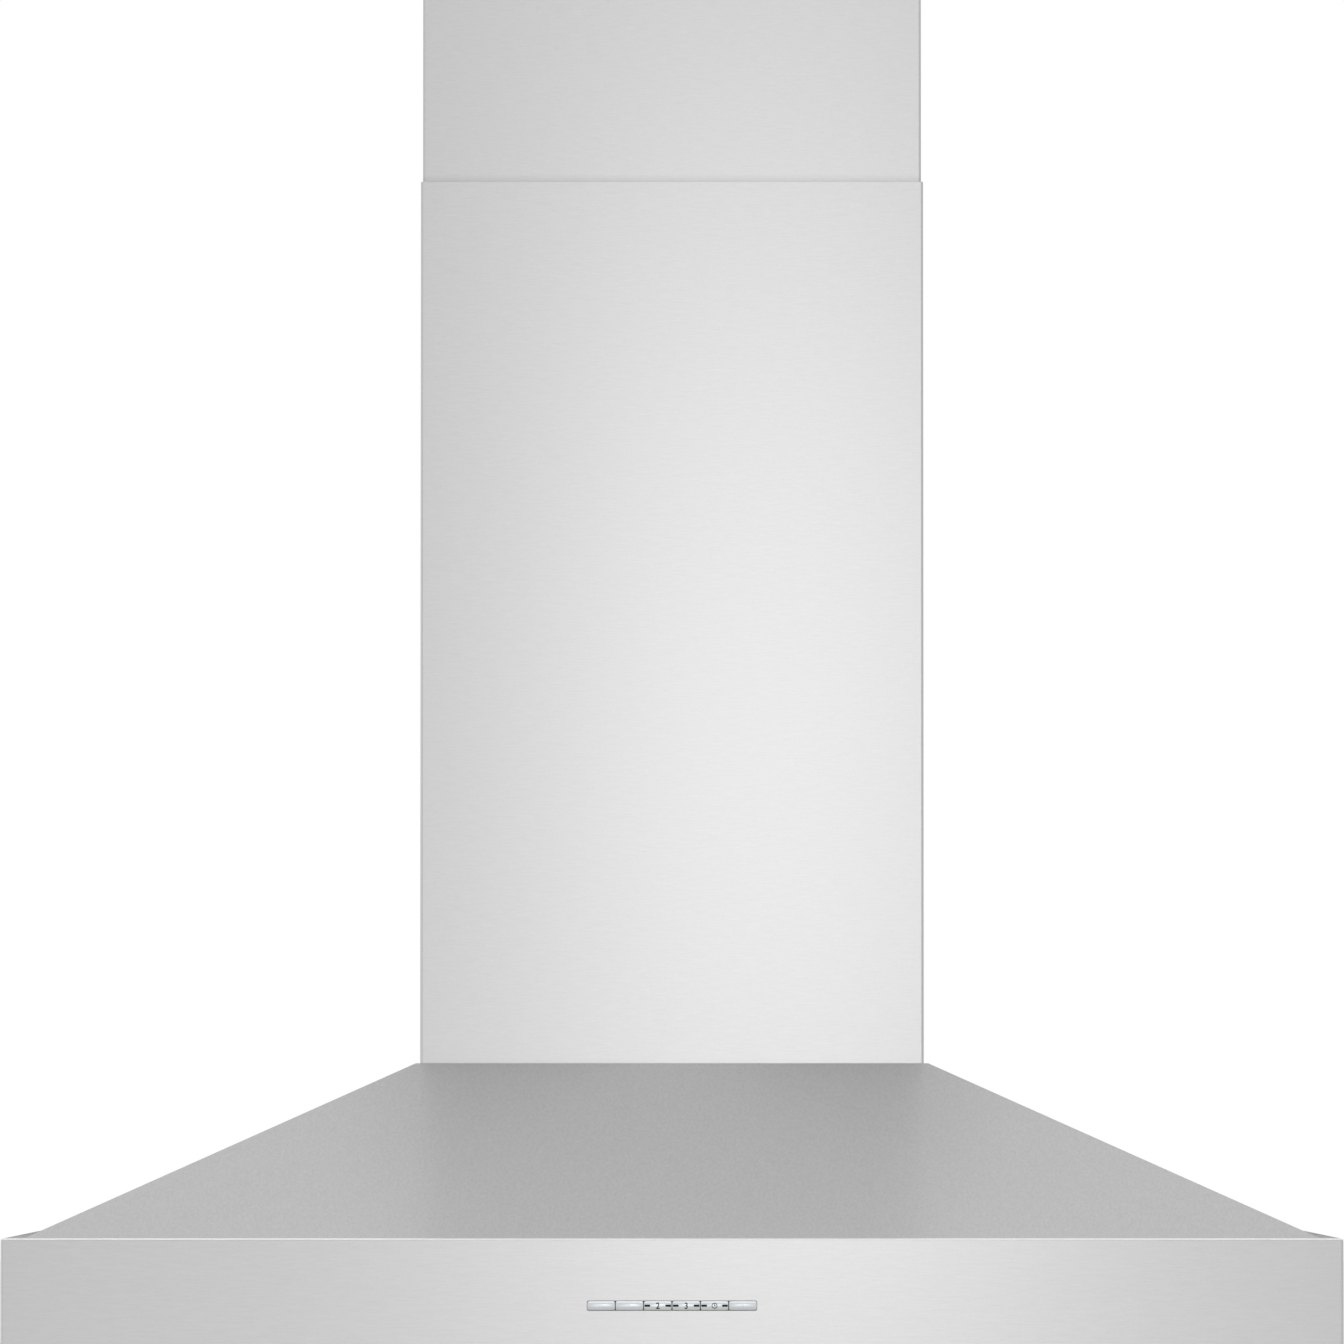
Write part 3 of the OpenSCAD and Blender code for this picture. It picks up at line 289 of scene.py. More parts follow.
def lens_rings(tree):
    """Rings 2.4 mm apart round the centre of each lamp."""
    spacing = 2.4 * MM
    low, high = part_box("lamp_lens_right")
    middle = (low + high) / 2
    x, y = piece_axes(tree)[:2]
    along = add_node(tree, "ShaderNodeMath", {0: x}, operation="ABSOLUTE")
    flat = add_node(tree, "ShaderNodeCombineXYZ", {0: along.outputs[0], 1: y})
    radius = add_node(tree, "ShaderNodeVectorMath", {
        0: flat.outputs[0], 1: (middle.x, middle.y, 0)}, operation="DISTANCE")
    turn = add_node(tree, "ShaderNodeMath", {
        0: radius.outputs["Value"], 1: 2 * math.pi / spacing}, operation="MULTIPLY")
    return add_node(tree, "ShaderNodeMath", {0: turn.outputs[0]}, operation="SINE").outputs[0]


def tracks(tree):
    """Copper tracks 2.4 mm apart, in staggered rows."""
    unit, track, spacing, gap = 9, 14.4, 2.43, 0.45
    place = add_node(tree, "ShaderNodeTexCoord")
    return add_node(tree, "ShaderNodeTexBrick", {
        "Vector": place.outputs["Object"], "Scale": 1 / (unit * MM), "Mortar Size": gap / unit,
        "Brick Width": track / unit, "Row Height": spacing / unit}).outputs["Fac"]


def brushed_stainless(name, base, pattern):
    """Stainless steel sheet, belt-brushed along its length.

    The eye gets fine lines about 5 mm long, and a satin gloss that spreads up and down but keeps the
    light's edges from left to right."""
    return surface(name, base, pattern, shades=(0.952, 1.048), gloss=(0.32, 0.345), depth=0.004,
                   sockets={"Metallic": 1.0, "Anisotropic": 0.75, "Anisotropic Rotation": 0.25})


def upright_stainless(finishes):
    """Belt-brushed sheet that stands up: level lines."""
    return brushed_stainless("brushed_stainless_upright", finishes.stainless, brushing(UPRIGHT_LINES))


def level_stainless(finishes):
    """Belt-brushed sheet that lies flat: lines along X."""
    return brushed_stainless("brushed_stainless_level", finishes.stainless, brushing(LEVEL_LINES))


def paint_light(material, factor):
    """Multiplies a material's colour by a factor that comes from a socket: painted light where the factor is
    above one, painted shade where it is below.
    """
    tree = material.node_tree
    shader = next(node for node in tree.nodes if node.type == "BSDF_PRINCIPLED")
    unpainted = shader.inputs["Base Color"].links[0].from_socket
    product = add_node(tree, "ShaderNodeMix", {0: 1.0, 6: unpainted, 7: factor},
                       data_type="RGBA", blend_type="MULTIPLY")
    tree.links.new(product.outputs[2], shader.inputs["Base Color"])
    return material


def folded_stainless(finishes):
    """Belt-brushed sheet with a painted highlight on its fold round the ledge: a thin bright line."""
    # Shares of the fold's radius: how far below the ledge the bright line starts and is full, and how far
    # inside the panel's face it ends
    start, full, inner = 0.4, 0.25, 1.1
    material = brushed_stainless("brushed_stainless_folded", finishes.stainless, canopy_brushing)
    tree = material.node_tree
    sizes = bpy.context.scene.hood_sizes
    radius = sizes.fold_radius
    low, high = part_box("canopy_shell")
    x, y, z = piece_axes(tree)
    width = add_node(tree, "ShaderNodeMath", {0: x}, operation="ABSOLUTE")
    side = add_node(tree, "ShaderNodeMath", {0: width.outputs[0], 1: high.x}, operation="SUBTRACT")
    front = add_node(tree, "ShaderNodeMath", {0: low.y, 1: y}, operation="SUBTRACT")
    outside = add_node(tree, "ShaderNodeMath", {
        0: side.outputs[0], 1: front.outputs[0]}, operation="MAXIMUM")
    edge = add_node(tree, "ShaderNodeMapRange", {
        "Value": outside.outputs[0], "From Min": -inner * radius, "From Max": -radius})
    bend = add_node(tree, "ShaderNodeMapRange", {
        "Value": z, "From Min": sizes.panel_height - start * radius,
        "From Max": sizes.panel_height - full * radius, "To Max": edge.outputs[0]})
    # Painted highlight: the steel's colour is brightened along the fold
    bright = add_node(tree, "ShaderNodeMapRange", {
        "Value": bend.outputs[0], "To Min": 1.0, "To Max": finishes.fold_highlight})
    return paint_light(material, bright.outputs[0])


def seam_shaded_stainless(finishes):
    """Belt-brushed sheet with painted shade: a little darker in the band round the seam, where it slides in
    the lower cover's mouth.
    """
    material = brushed_stainless("brushed_stainless_seam_shaded", finishes.stainless, brushing(UPRIGHT_LINES))
    tree = material.node_tree
    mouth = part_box("lower_cover")[1].z
    reach = bpy.context.scene.hood_sizes.shade_reach
    away = add_node(tree, "ShaderNodeMath", {0: piece_axes(tree)[2], 1: mouth}, operation="SUBTRACT")
    off = add_node(tree, "ShaderNodeMath", {0: away.outputs[0]}, operation="ABSOLUTE")
    # Painted shade at the seam: the colour darkens towards the lower cover's mouth
    darkened = add_node(tree, "ShaderNodeMapRange", {
        "Value": off.outputs[0], "From Max": reach, "To Min": finishes.seam_shade})
    return paint_light(material, darkened.outputs[0])


def galvanised_sheet(finishes):
    """Hot-dip galvanised sheet: dull zinc whose crystals are each a little lighter or darker."""
    return surface("galvanised_sheet", finishes.galvanised, spangles,
                   shades=(0.88, 1.06), gloss=(0.36, 0.5), depth=0.01,
                   raised=grain((2, 2, 2)), sockets={"Metallic": 0.9})


def zinc_plated_steel(finishes):
    """Bright zinc plate over pressed steel: a cool shine with a faint cloudy coat."""
    return surface("zinc_plated_steel", finishes.zinc, grain((3, 3, 3)),
                   shades=(0.88, 1.06), gloss=(0.24, 0.38), depth=0.004,
                   raised=grain((0.5, 0.5, 0.5)), sockets={"Metallic": 1.0})


def ground_steel(finishes):
    """Centreless-ground steel rod: fine rings round its axis, which lies along X."""
    return surface("ground_steel", finishes.ground, grain((0.3, 6, 6)),
                   shades=(0.9, 1.05), gloss=(0.16, 0.28), depth=0.004, sockets={"Metallic": 1.0})


def cast_aluminium(finishes):
    """Die-cast aluminium, tumbled: matt grey with a fine skin and darker patches."""
    return surface("cast_aluminium", finishes.cast, grain((14, 14, 14), detail=4.0),
                   shades=(0.84, 1.05), gloss=(0.48, 0.62), depth=0.03,
                   raised=grain((0.9, 0.9, 0.9)), sockets={"Metallic": 0.95})


def rolled_aluminium(finishes):
    """Mill-finish aluminium strip: bright satin with faint rolling lines along X."""
    return surface("rolled_aluminium", finishes.rolled, grain((30, 0.8, 0.8), detail=3.0),
                   shades=(0.93, 1.03), gloss=(0.28, 0.38), depth=0.006, sockets={"Metallic": 1.0})


def expanded_aluminium(finishes):
    """Aluminium foil, slit and stretched: bright strands with dull sheared edges."""
    return surface("expanded_aluminium", finishes.expanded, grain((2.5, 1.2, 0.6)),
                   shades=(0.82, 1.08), gloss=(0.26, 0.44), depth=0.03, sockets={"Metallic": 1.0})


def moulded_plastic(finishes):
    """Injection-moulded plastic with an eroded mould face: matt, with a fine skin and soft flow marks."""
    return surface("moulded_plastic", finishes.plastic, grain((40, 40, 40)),
                   shades=(0.9, 1.08), gloss=(0.48, 0.6), depth=0.02,
                   raised=grain((0.6, 0.6, 0.6), detail=3.0), sockets={"IOR": 1.52})


def white_plastic(finishes):
    """White moulded plastic: smoother than the dark one, with a faint unevenness."""
    return surface("white_plastic", finishes.white_plastic, grain((30, 30, 30)),
                   shades=(0.95, 1.03), gloss=(0.4, 0.48), depth=0.01,
                   raised=grain((0.9, 0.9, 0.9)), sockets={"IOR": 1.52})


def grey_plastic(finishes):
    """Grey moulded plastic, with the same eroded face as the dark one. It shows between the buttons."""
    return surface("grey_plastic", finishes.grey_plastic, grain((30, 30, 30)),
                   shades=(0.93, 1.05), gloss=(0.45, 0.55), depth=0.01,
                   raised=grain((0.6, 0.6, 0.6)), sockets={"IOR": 1.52})


def polished_chrome(finishes):
    """Decorative chrome on a turned ring: mirror bright, with the faintest polishing haze."""
    return surface("polished_chrome", finishes.chrome, grain((5, 5, 5)),
                   shades=(0.96, 1.02), gloss=(0.05, 0.1), depth=0.001, sockets={"Metallic": 1.0})


def button_plating(finishes):
    """Satin chrome on moulded plastic: soft silver, whose bright bar wavers with the moulding under it."""
    return surface("button_plating", finishes.plating, grain((2.4, 2.4, 0.4)),
                   shades=(0.95, 1.04), gloss=(0.28, 0.35), depth=0.05,
                   raised=grain((5, 5, 5), detail=0.0), sockets={"Metallic": 1.0})


def pad_print(name, base):
    """Pad-printed ink on the plating: matt, a little patchy, with no metal in it."""
    return surface(name, base, grain((0.5, 0.5, 0.5)), shades=(0.85, 1.15), gloss=(0.6, 0.7), depth=0.002,
                   sockets={"IOR": 1.45, "Specular IOR Level": 0.25})


def dark_print(finishes):
    """Black ink."""
    return pad_print("dark_print", finishes.ink)


def pale_print(finishes):
    """White ink, thin enough to look a little blue."""
    return pad_print("pale_print", finishes.pale_ink)


def frosted_glass(finishes):
    """Pressed glass, frosted inside: milky, with fine rings round each lamp's centre."""
    return surface("frosted_glass", finishes.glass, grain((0.5, 0.5, 0.5)),
                   shades=(0.96, 1.02), gloss=(0.35, 0.5), depth=0.12,
                   raised=lens_rings, sockets={"Transmission Weight": 0.35, "IOR": 1.5})


def circuit_board(finishes):
    """Glass-epoxy board under green solder mask, which lighter copper tracks show through."""
    return surface("circuit_board", finishes.solder_mask, tracks,
                   shades=(0.8, 1.9), gloss=(0.25, 0.4), depth=0.03, sockets={"IOR": 1.55})


@functools.cache
def finish(maker):
    """The material that a finish makes, made when it is first asked for."""
    return maker(bpy.context.scene.hood_finishes)


def dress(nodes, maker):
    """Gives CAD nodes a finish."""
    for name in nodes:
        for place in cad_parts[name].material_slots:
            place.material = finish(maker)


def new_piece(name, shape, body, maker, stands_for=()):
    """Turns a bmesh into a piece in the CAD frame that rides on a body, smooth up to its sharp edges."""
    for face in shape.faces:
        face.smooth = True
    for edge in shape.edges:
        edge.smooth = len(edge.link_faces) == 2 and edge.calc_face_angle(0.0) < SHARP
    mesh = bpy.data.meshes.new(name)
    shape.to_mesh(mesh)
    shape.free()
    mesh.materials.append(finish(maker))
    piece = bpy.data.objects.new(name, mesh)
    bpy.context.scene.collection.objects.link(piece)
    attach(piece, body)
    if stands_for:
        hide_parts(*stands_for)
    return piece


def box(shape, low, high):
    """Adds a box between two corners."""
    middle = (Vector(low) + Vector(high)) / 2
    size = Vector(high) - Vector(low)
    turn = Matrix.Translation(middle) @ Matrix.Diagonal((*size, 1.0))
    return bmesh.ops.create_cube(shape, size=1.0, matrix=turn)["verts"]


def plate(shape, width, height, corner, segments=4):
    """Adds a flat plate with round corners in X and Y, its middle at the origin."""
    verts = bmesh.ops.create_grid(shape, x_segments=1, y_segments=1, size=0.5)["verts"]
    bmesh.ops.scale(shape, verts=verts, vec=(width, height, 1))
    return bmesh.ops.bevel(shape, geom=verts, offset=corner, segments=segments, profile=0.5,
                           affect="VERTICES", material=-1)["verts"]


def merge_in(shape, other, matrix):
    """Adds a copy of another bmesh, moved by the matrix."""
    carrier = bpy.data.meshes.new("carrier")
    other.to_mesh(carrier)
    carrier.transform(matrix)
    shape.from_mesh(carrier)
    bpy.data.meshes.remove(carrier)


def carve(shape, cutter):
    """The shape with the cutter taken out of it. Both are used up."""
    carriers = []
    for name, part in (("carved", shape), ("cutter", cutter)):
        mesh = bpy.data.meshes.new(name)
        part.to_mesh(mesh)
        part.free()
        carriers.append(bpy.data.objects.new(name, mesh))
        bpy.context.scene.collection.objects.link(carriers[-1])
    carved, blade = carriers
    cut = carved.modifiers.new("cut", "BOOLEAN")
    cut.operation, cut.solver, cut.object = "DIFFERENCE", "EXACT", blade
    cut.use_self = True
    result = bmesh.new()
    result.from_object(carved, bpy.context.evaluated_depsgraph_get())
    for carrier in carriers:
        mesh = carrier.data
        bpy.data.objects.remove(carrier)
        bpy.data.meshes.remove(mesh)
    return result


def cut_across(shape, place, normal, trim=False):
    """Cuts a bmesh along a plane, and takes away what lies past it where it is told to trim."""
    bmesh.ops.bisect_plane(shape, geom=shape.verts[:] + shape.edges[:] + shape.faces[:], dist=ON_CUT,
                           plane_co=place, plane_no=normal, clear_outer=trim)


def level_strips(shape, height):
    """Cuts a flat drawing into level strips, so that it can bend about X."""
    for i in range(1, KEY_STRIPS):
        cut_across(shape, (0, height * (i / KEY_STRIPS - 0.5), 0), (0, 1, 0))


def bend_on_key(shape, key, sizes, lift):
    """Bends a drawing in X and Y onto a button's bulge, and lifts its zero this far off the surface."""
    low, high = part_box("button_" + key)
    half = sizes.key_height / 2
    radius = (half ** 2 + sizes.key_rise ** 2) / (2 * sizes.key_rise)
    for vert in shape.verts:
        x, z, height = vert.co
        bulge = radius - math.sqrt(radius ** 2 - z ** 2)
        vert.co = Vector((x + (low.x + high.x) / 2, low.y + bulge - height - lift, z + (low.z + high.z) / 2))


def key_cap(key, sizes):
    """A button's plated cap: a plate with round corners and a rounded edge, bent about X and drawn back."""
    low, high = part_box("button_" + key)
    cap = bmesh.new()
    plate(cap, high.x - low.x, sizes.key_height, sizes.key_corner, segments=6)
    level_strips(cap, sizes.key_height)
    face = cap.faces[:]
    # Two steps follow the quarter circle of the edge
    for across, up in ((0.3, 0.7), (0.7, 0.3)):
        bmesh.ops.inset_region(cap, faces=face, thickness=across * sizes.key_edge, depth=up * sizes.key_edge,
                               use_boundary=True, use_even_offset=True)
    # The face ends a film below the solid's, so that the print on it stays inside the solid's box
    bend_on_key(cap, key, sizes, -sizes.key_edge - sizes.ink_film)
    pushed = bmesh.ops.extrude_face_region(cap, geom=cap.faces[:])["geom"]
    for vert in (part for part in pushed if isinstance(part, bmesh.types.BMVert)):
        vert.co.y = low.y + sizes.key_rise + sizes.key_body
    bmesh.ops.recalc_face_normals(cap, faces=cap.faces)
    return cap


def key_holder(key, sizes):
    """The moulding in and behind a button's cap: its shoulder, the flange that keeps it in, and the stem."""
    low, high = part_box("button_" + key)
    front = low.y + sizes.key_rise + sizes.key_body
    back = front + sizes.key_flange
    inside = (front + back) / 2
    shoulder = low.y + sizes.key_rise + sizes.key_edge + sizes.key_step
    middle = Vector(((low.x + high.x) / 2, 0, (low.z + high.z) / 2))
    half = Vector((sizes.stem_width / 2, 0, sizes.stem_height / 2))
    rise = sizes.key_height / 2 - sizes.key_step
    holder = bmesh.new()
    # The shoulder shows only at the cap's round corners
    box(holder, (low.x + sizes.key_step, shoulder, middle.z - rise),
        (high.x - sizes.key_step, inside, middle.z + rise))
    box(holder, (low.x, front, low.z), (high.x, back, high.z))
    # The shoulder ends and the stem starts inside the flange
    box(holder, middle - half + Vector((0, inside, 0)), middle + half + Vector((0, high.y, 0)))
    return holder


def bar(shape, long, high, x=0.0, y=0.0, roundness=0.3):
    """Adds a bar to a print. The radius of its corners is a share of its thinner side."""
    verts = plate(shape, long, high, min(long, high) * roundness)
    bmesh.ops.translate(shape, verts=verts, vec=(x, y, 0))


def ring(shape, radius, line, y=0.0):
    """Adds a ring to a print, or a disc where the line is as wide as the radius."""
    solid = line >= radius
    verts = bmesh.ops.create_circle(shape, segments=CIRCLE_SIDES, radius=radius, cap_ends=solid)["verts"]
    if not solid:
        inner = bmesh.ops.create_circle(shape, segments=CIRCLE_SIDES, radius=radius - line)["verts"]
        edges = {edge for vert in verts + inner for edge in vert.link_edges}
        bmesh.ops.bridge_loops(shape, edges=sorted(edges, key=lambda edge: edge.index))
        verts = verts + inner
    bmesh.ops.translate(shape, verts=verts, vec=(0, y, 0))


def corners(points):
    """The lowest and the highest corner of the box round these points."""
    return [Vector([pick(point[i] for point in points) for i in range(3)]) for pick in (min, max)]


def digit(shape, figure, height, narrowing=0.86, thickening=0.02):
    """Adds a figure from Blender's own font, its middle at the origin.

    It is narrowed like the real buttons' figures, and its strokes are thickened to about 0.6 mm."""
    writing = bpy.data.curves.new("digit", "FONT")
    writing.body = figure
    writing.offset = thickening
    carrier = bpy.data.objects.new("digit", writing)
    mesh = bpy.data.meshes.new_from_object(carrier)
    low, high = corners([v.co for v in mesh.vertices])
    size = height / (high.y - low.y)
    middle = Vector(((high.x + low.x) / 2, (high.y + low.y) / 2, 0))
    mesh.transform(Matrix.Diagonal((narrowing * size, size, 1, 1)) @ Matrix.Translation(-middle))
    shape.from_mesh(mesh)
    # One flat outline cuts into cleaner strips than the font's loose triangles
    bmesh.ops.remove_doubles(shape, verts=shape.verts, dist=10 * SAME_POINT)
    bmesh.ops.dissolve_limit(shape, angle_limit=math.radians(1), verts=shape.verts, edges=shape.edges)
    bpy.data.objects.remove(carrier)
    bpy.data.curves.remove(writing)
    bpy.data.meshes.remove(mesh)


def bulb_sign(sign, line):
    """A round bulb over two bars of its cap."""
    radius, rise = 1.25 * MM, 0.45 * MM
    cap_width, cap_line = 1.3 * MM, 0.7 * line
    ring(sign, radius, line, y=rise)
    for y in (-1.15 * MM, -1.65 * MM):
        bar(sign, cap_width, cap_line, y=y)


def clock_sign(sign, line):
    """A dial with two hands."""
    radius, long_hand, short_hand = 1.95 * MM, 1.25 * MM, 0.95 * MM
    ring(sign, radius, line)
    bar(sign, line, long_hand, y=0.55 * MM)
    bar(sign, short_hand, line, x=0.36 * MM)


def fan_sign(sign):
    """Three oval blades round a hub."""
    blades, radius, slimness = 3, 0.95 * MM, 0.55
    reach, hub = 1.05 * MM, 0.3 * MM
    for i in range(blades):
        blade = bmesh.new()
        ring(blade, radius, radius)
        bmesh.ops.scale(blade, verts=blade.verts, vec=(slimness, 1, 1))
        turn = Matrix.Rotation(2 * math.pi * i / blades, 4, "Z")
        merge_in(sign, blade, turn @ Matrix.Translation((0, reach, 0)))
        blade.free()
    ring(sign, hub, hub)


def key_mark(key, sizes):
    """The print of one button, wrapped on its bulge: a number or a plain sign, some between two dashes."""
    mark = bmesh.new()
    if key == "light":
        bulb_sign(mark, sizes.mark_line)
    elif key == "boost":
        fan_sign(mark)
    elif key == "timer":
        clock_sign(mark, sizes.mark_line)
    else:
        digit(mark, key[-1], sizes.digit_height)
    if key in DARK_MARKS:
        for side in (-1, 1):
            bar(mark, sizes.dash_length, sizes.dash_height, x=side * sizes.dash_offset)
    level_strips(mark, sizes.key_height)
    bmesh.ops.dissolve_degenerate(mark, dist=5 * SAME_POINT, edges=mark.edges)
    bend_on_key(mark, key, sizes, 0)
    bmesh.ops.recalc_face_normals(mark, faces=mark.faces)
    for face in mark.faces:
        if face.normal.y > 0:
            face.normal_flip()
    bmesh.ops.solidify(mark, geom=mark.faces[:], thickness=2 * sizes.ink_film)
    return mark


def expanded_layer(width, depth, cell_length, cell_height, sizes):
    """A sheet of expanded metal in the XY plane: diamonds slit and stretched, their knots up and down."""
    count = math.ceil(width / cell_length + depth / cell_height)
    count += count % 2
    layer = bmesh.new()
    bmesh.ops.create_grid(layer, x_segments=count, y_segments=count, size=count / 2)
    # Each square of the grid becomes one diamond
    skew = Matrix(((cell_length / 2, -cell_length / 2, 0, 0), (cell_height / 2, cell_height / 2, 0, 0),
                   (0, 0, 1, 0), (0, 0, 0, 1)))
    bmesh.ops.transform(layer, matrix=skew, verts=layer.verts)
    for vert in layer.verts:
        vert.co.z = sizes.mesh_wave * math.cos(2 * math.pi * vert.co.y / cell_height)
    spare = [v for v in layer.verts
             if abs(v.co.x) > width / 2 + cell_length or abs(v.co.y) > depth / 2 + cell_height]
    bmesh.ops.delete(layer, geom=spare, context="VERTS")
    diamonds = layer.faces[:]
    bmesh.ops.inset_individual(layer, faces=diamonds, thickness=sizes.strand / 2, use_even_offset=True)
    bmesh.ops.delete(layer, geom=diamonds, context="FACES")
    for x, y in ((1, 0), (-1, 0), (0, 1), (0, -1)):
        cut_across(layer, (x * width / 2, y * depth / 2, 0), (x, y, 0), trim=True)
    return layer


def filter_stack(side, sizes):
    """Three layers of expanded metal that fill a filter's frame, with a notch for the latch's pocket."""
    low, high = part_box("filter_mesh_" + side)
    width, depth, height = high - low
    middle = (low + high) / 2
    stack = bmesh.new()
    # The outer layers' knots stay inside the solid's box, and the middle layer is finer
    knot_room, finer = 1.4, 0.7
    rise = height / 2 - sizes.foil - knot_room * sizes.mesh_wave
    for z, scale in ((-rise, 1.0), (0.0, finer), (rise, 1.0)):
        layer = expanded_layer(width, depth, sizes.cell_length * scale, sizes.cell_height * scale, sizes)
        notch = [f for f in layer.faces
                 if abs(f.calc_center_median().x) < sizes.pocket_width / 2
                 and f.calc_center_median().y < -depth / 2 + sizes.pocket_depth]
        bmesh.ops.delete(layer, geom=notch, context="FACES")
        bmesh.ops.solidify(layer, geom=layer.faces[:], thickness=sizes.foil)
        merge_in(stack, layer, Matrix.Translation(middle + Vector((0, 0, z))))
        layer.free()
    return stack


def loose_parts(node):
    """The points of each separate solid of a CAD node, in the order of its mesh."""
    shape = bmesh.new()
    shape.from_mesh(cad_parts[node].data)
    bmesh.ops.remove_doubles(shape, verts=shape.verts, dist=SAME_POINT)
    parts = []
    for first in shape.verts:
        if first.tag:
            continue
        first.tag = True
        part = [first]
        for vert in part:
            for edge in vert.link_edges:
                other = edge.other_vert(vert)
                if not other.tag:
                    other.tag = True
                    part.append(other)
        parts.append([v.co.copy() for v in part])
    shape.free()
    return parts


def screw_seat(points):
    """The end of a screw's head, as a matrix whose Z leaves the head, and its length and head radius."""
    low, high = corners(points)
    size = high - low
    # Two of the sizes are the head's diameter, and the screw lies along the other one
    along = max(range(3), key=lambda i: abs(size[i] - size[i - 1]) + abs(size[i] - size[i - 2]))
    radius = size[along - 1] / 2
    end = (low + high) / 2

    def off_axis(point):
        away = point - end
        away[along] = 0
        return away.length

    # The points near the head's rim tell which end it is at
    rim = 0.9 * radius
    head = [p[along] for p in points if off_axis(p) > rim]
    outward = 1 if sum(head) / len(head) > end[along] else -1
    end[along] += outward * size[along] / 2
    axis = Vector([outward if i == along else 0 for i in range(3)])
    turn = axis.to_track_quat("Z", "Y").to_matrix().to_4x4()
    return Matrix.Translation(end) @ turn, size[along], radius


def screw(head_radius, reach, sizes):
    """A pan-head screw with a cross recess: its head's top at the origin, its shank along -Z."""
    head_height = head_radius * HEAD_HEIGHT
    shape = bmesh.new()
    bmesh.ops.create_cone(shape, cap_ends=True, segments=CIRCLE_SIDES, radius1=head_radius,
                          radius2=head_radius, depth=head_height,
                          matrix=Matrix.Translation((0, 0, -head_height / 2)))
    top = [e for e in shape.edges if all(v.co.z > -SAME_POINT for v in e.verts)]
    bmesh.ops.bevel(shape, geom=top, offset=head_height * HEAD_ROUND, segments=5, profile=0.5,
                    affect="EDGES", material=-1, clamp_overlap=True)
    cross = bmesh.new()
    arm, blade, drop = sizes.recess_width / 2, sizes.recess_blade / 2, head_height * RECESS_DEPTH
    # The cutter stands out of the head, and its arms taper to the bottom of the recess
    above, arm_taper, blade_taper = 0.2 * MM, 0.55, 0.9
    for x, y in ((arm, blade), (blade, arm)):
        verts = box(cross, (-x, -y, -drop), (x, y, above))
        for vert in (v for v in verts if v.co.z < -drop / 2):
            vert.co.x *= arm_taper if x > y else blade_taper
            vert.co.y *= arm_taper if y > x else blade_taper
    cut = carve(shape, cross)
    # The shank starts a little inside the head and is thinner at its tip
    overlap, tip, root = 0.1 * MM, head_radius * 0.5, head_radius * 0.53
    bmesh.ops.create_cone(cut, cap_ends=True, segments=SHANK_SIDES, radius1=tip, radius2=root,
                          depth=reach - head_height + overlap,
                          matrix=Matrix.Translation((0, 0, -(reach + head_height - overlap) / 2)))
    return cut


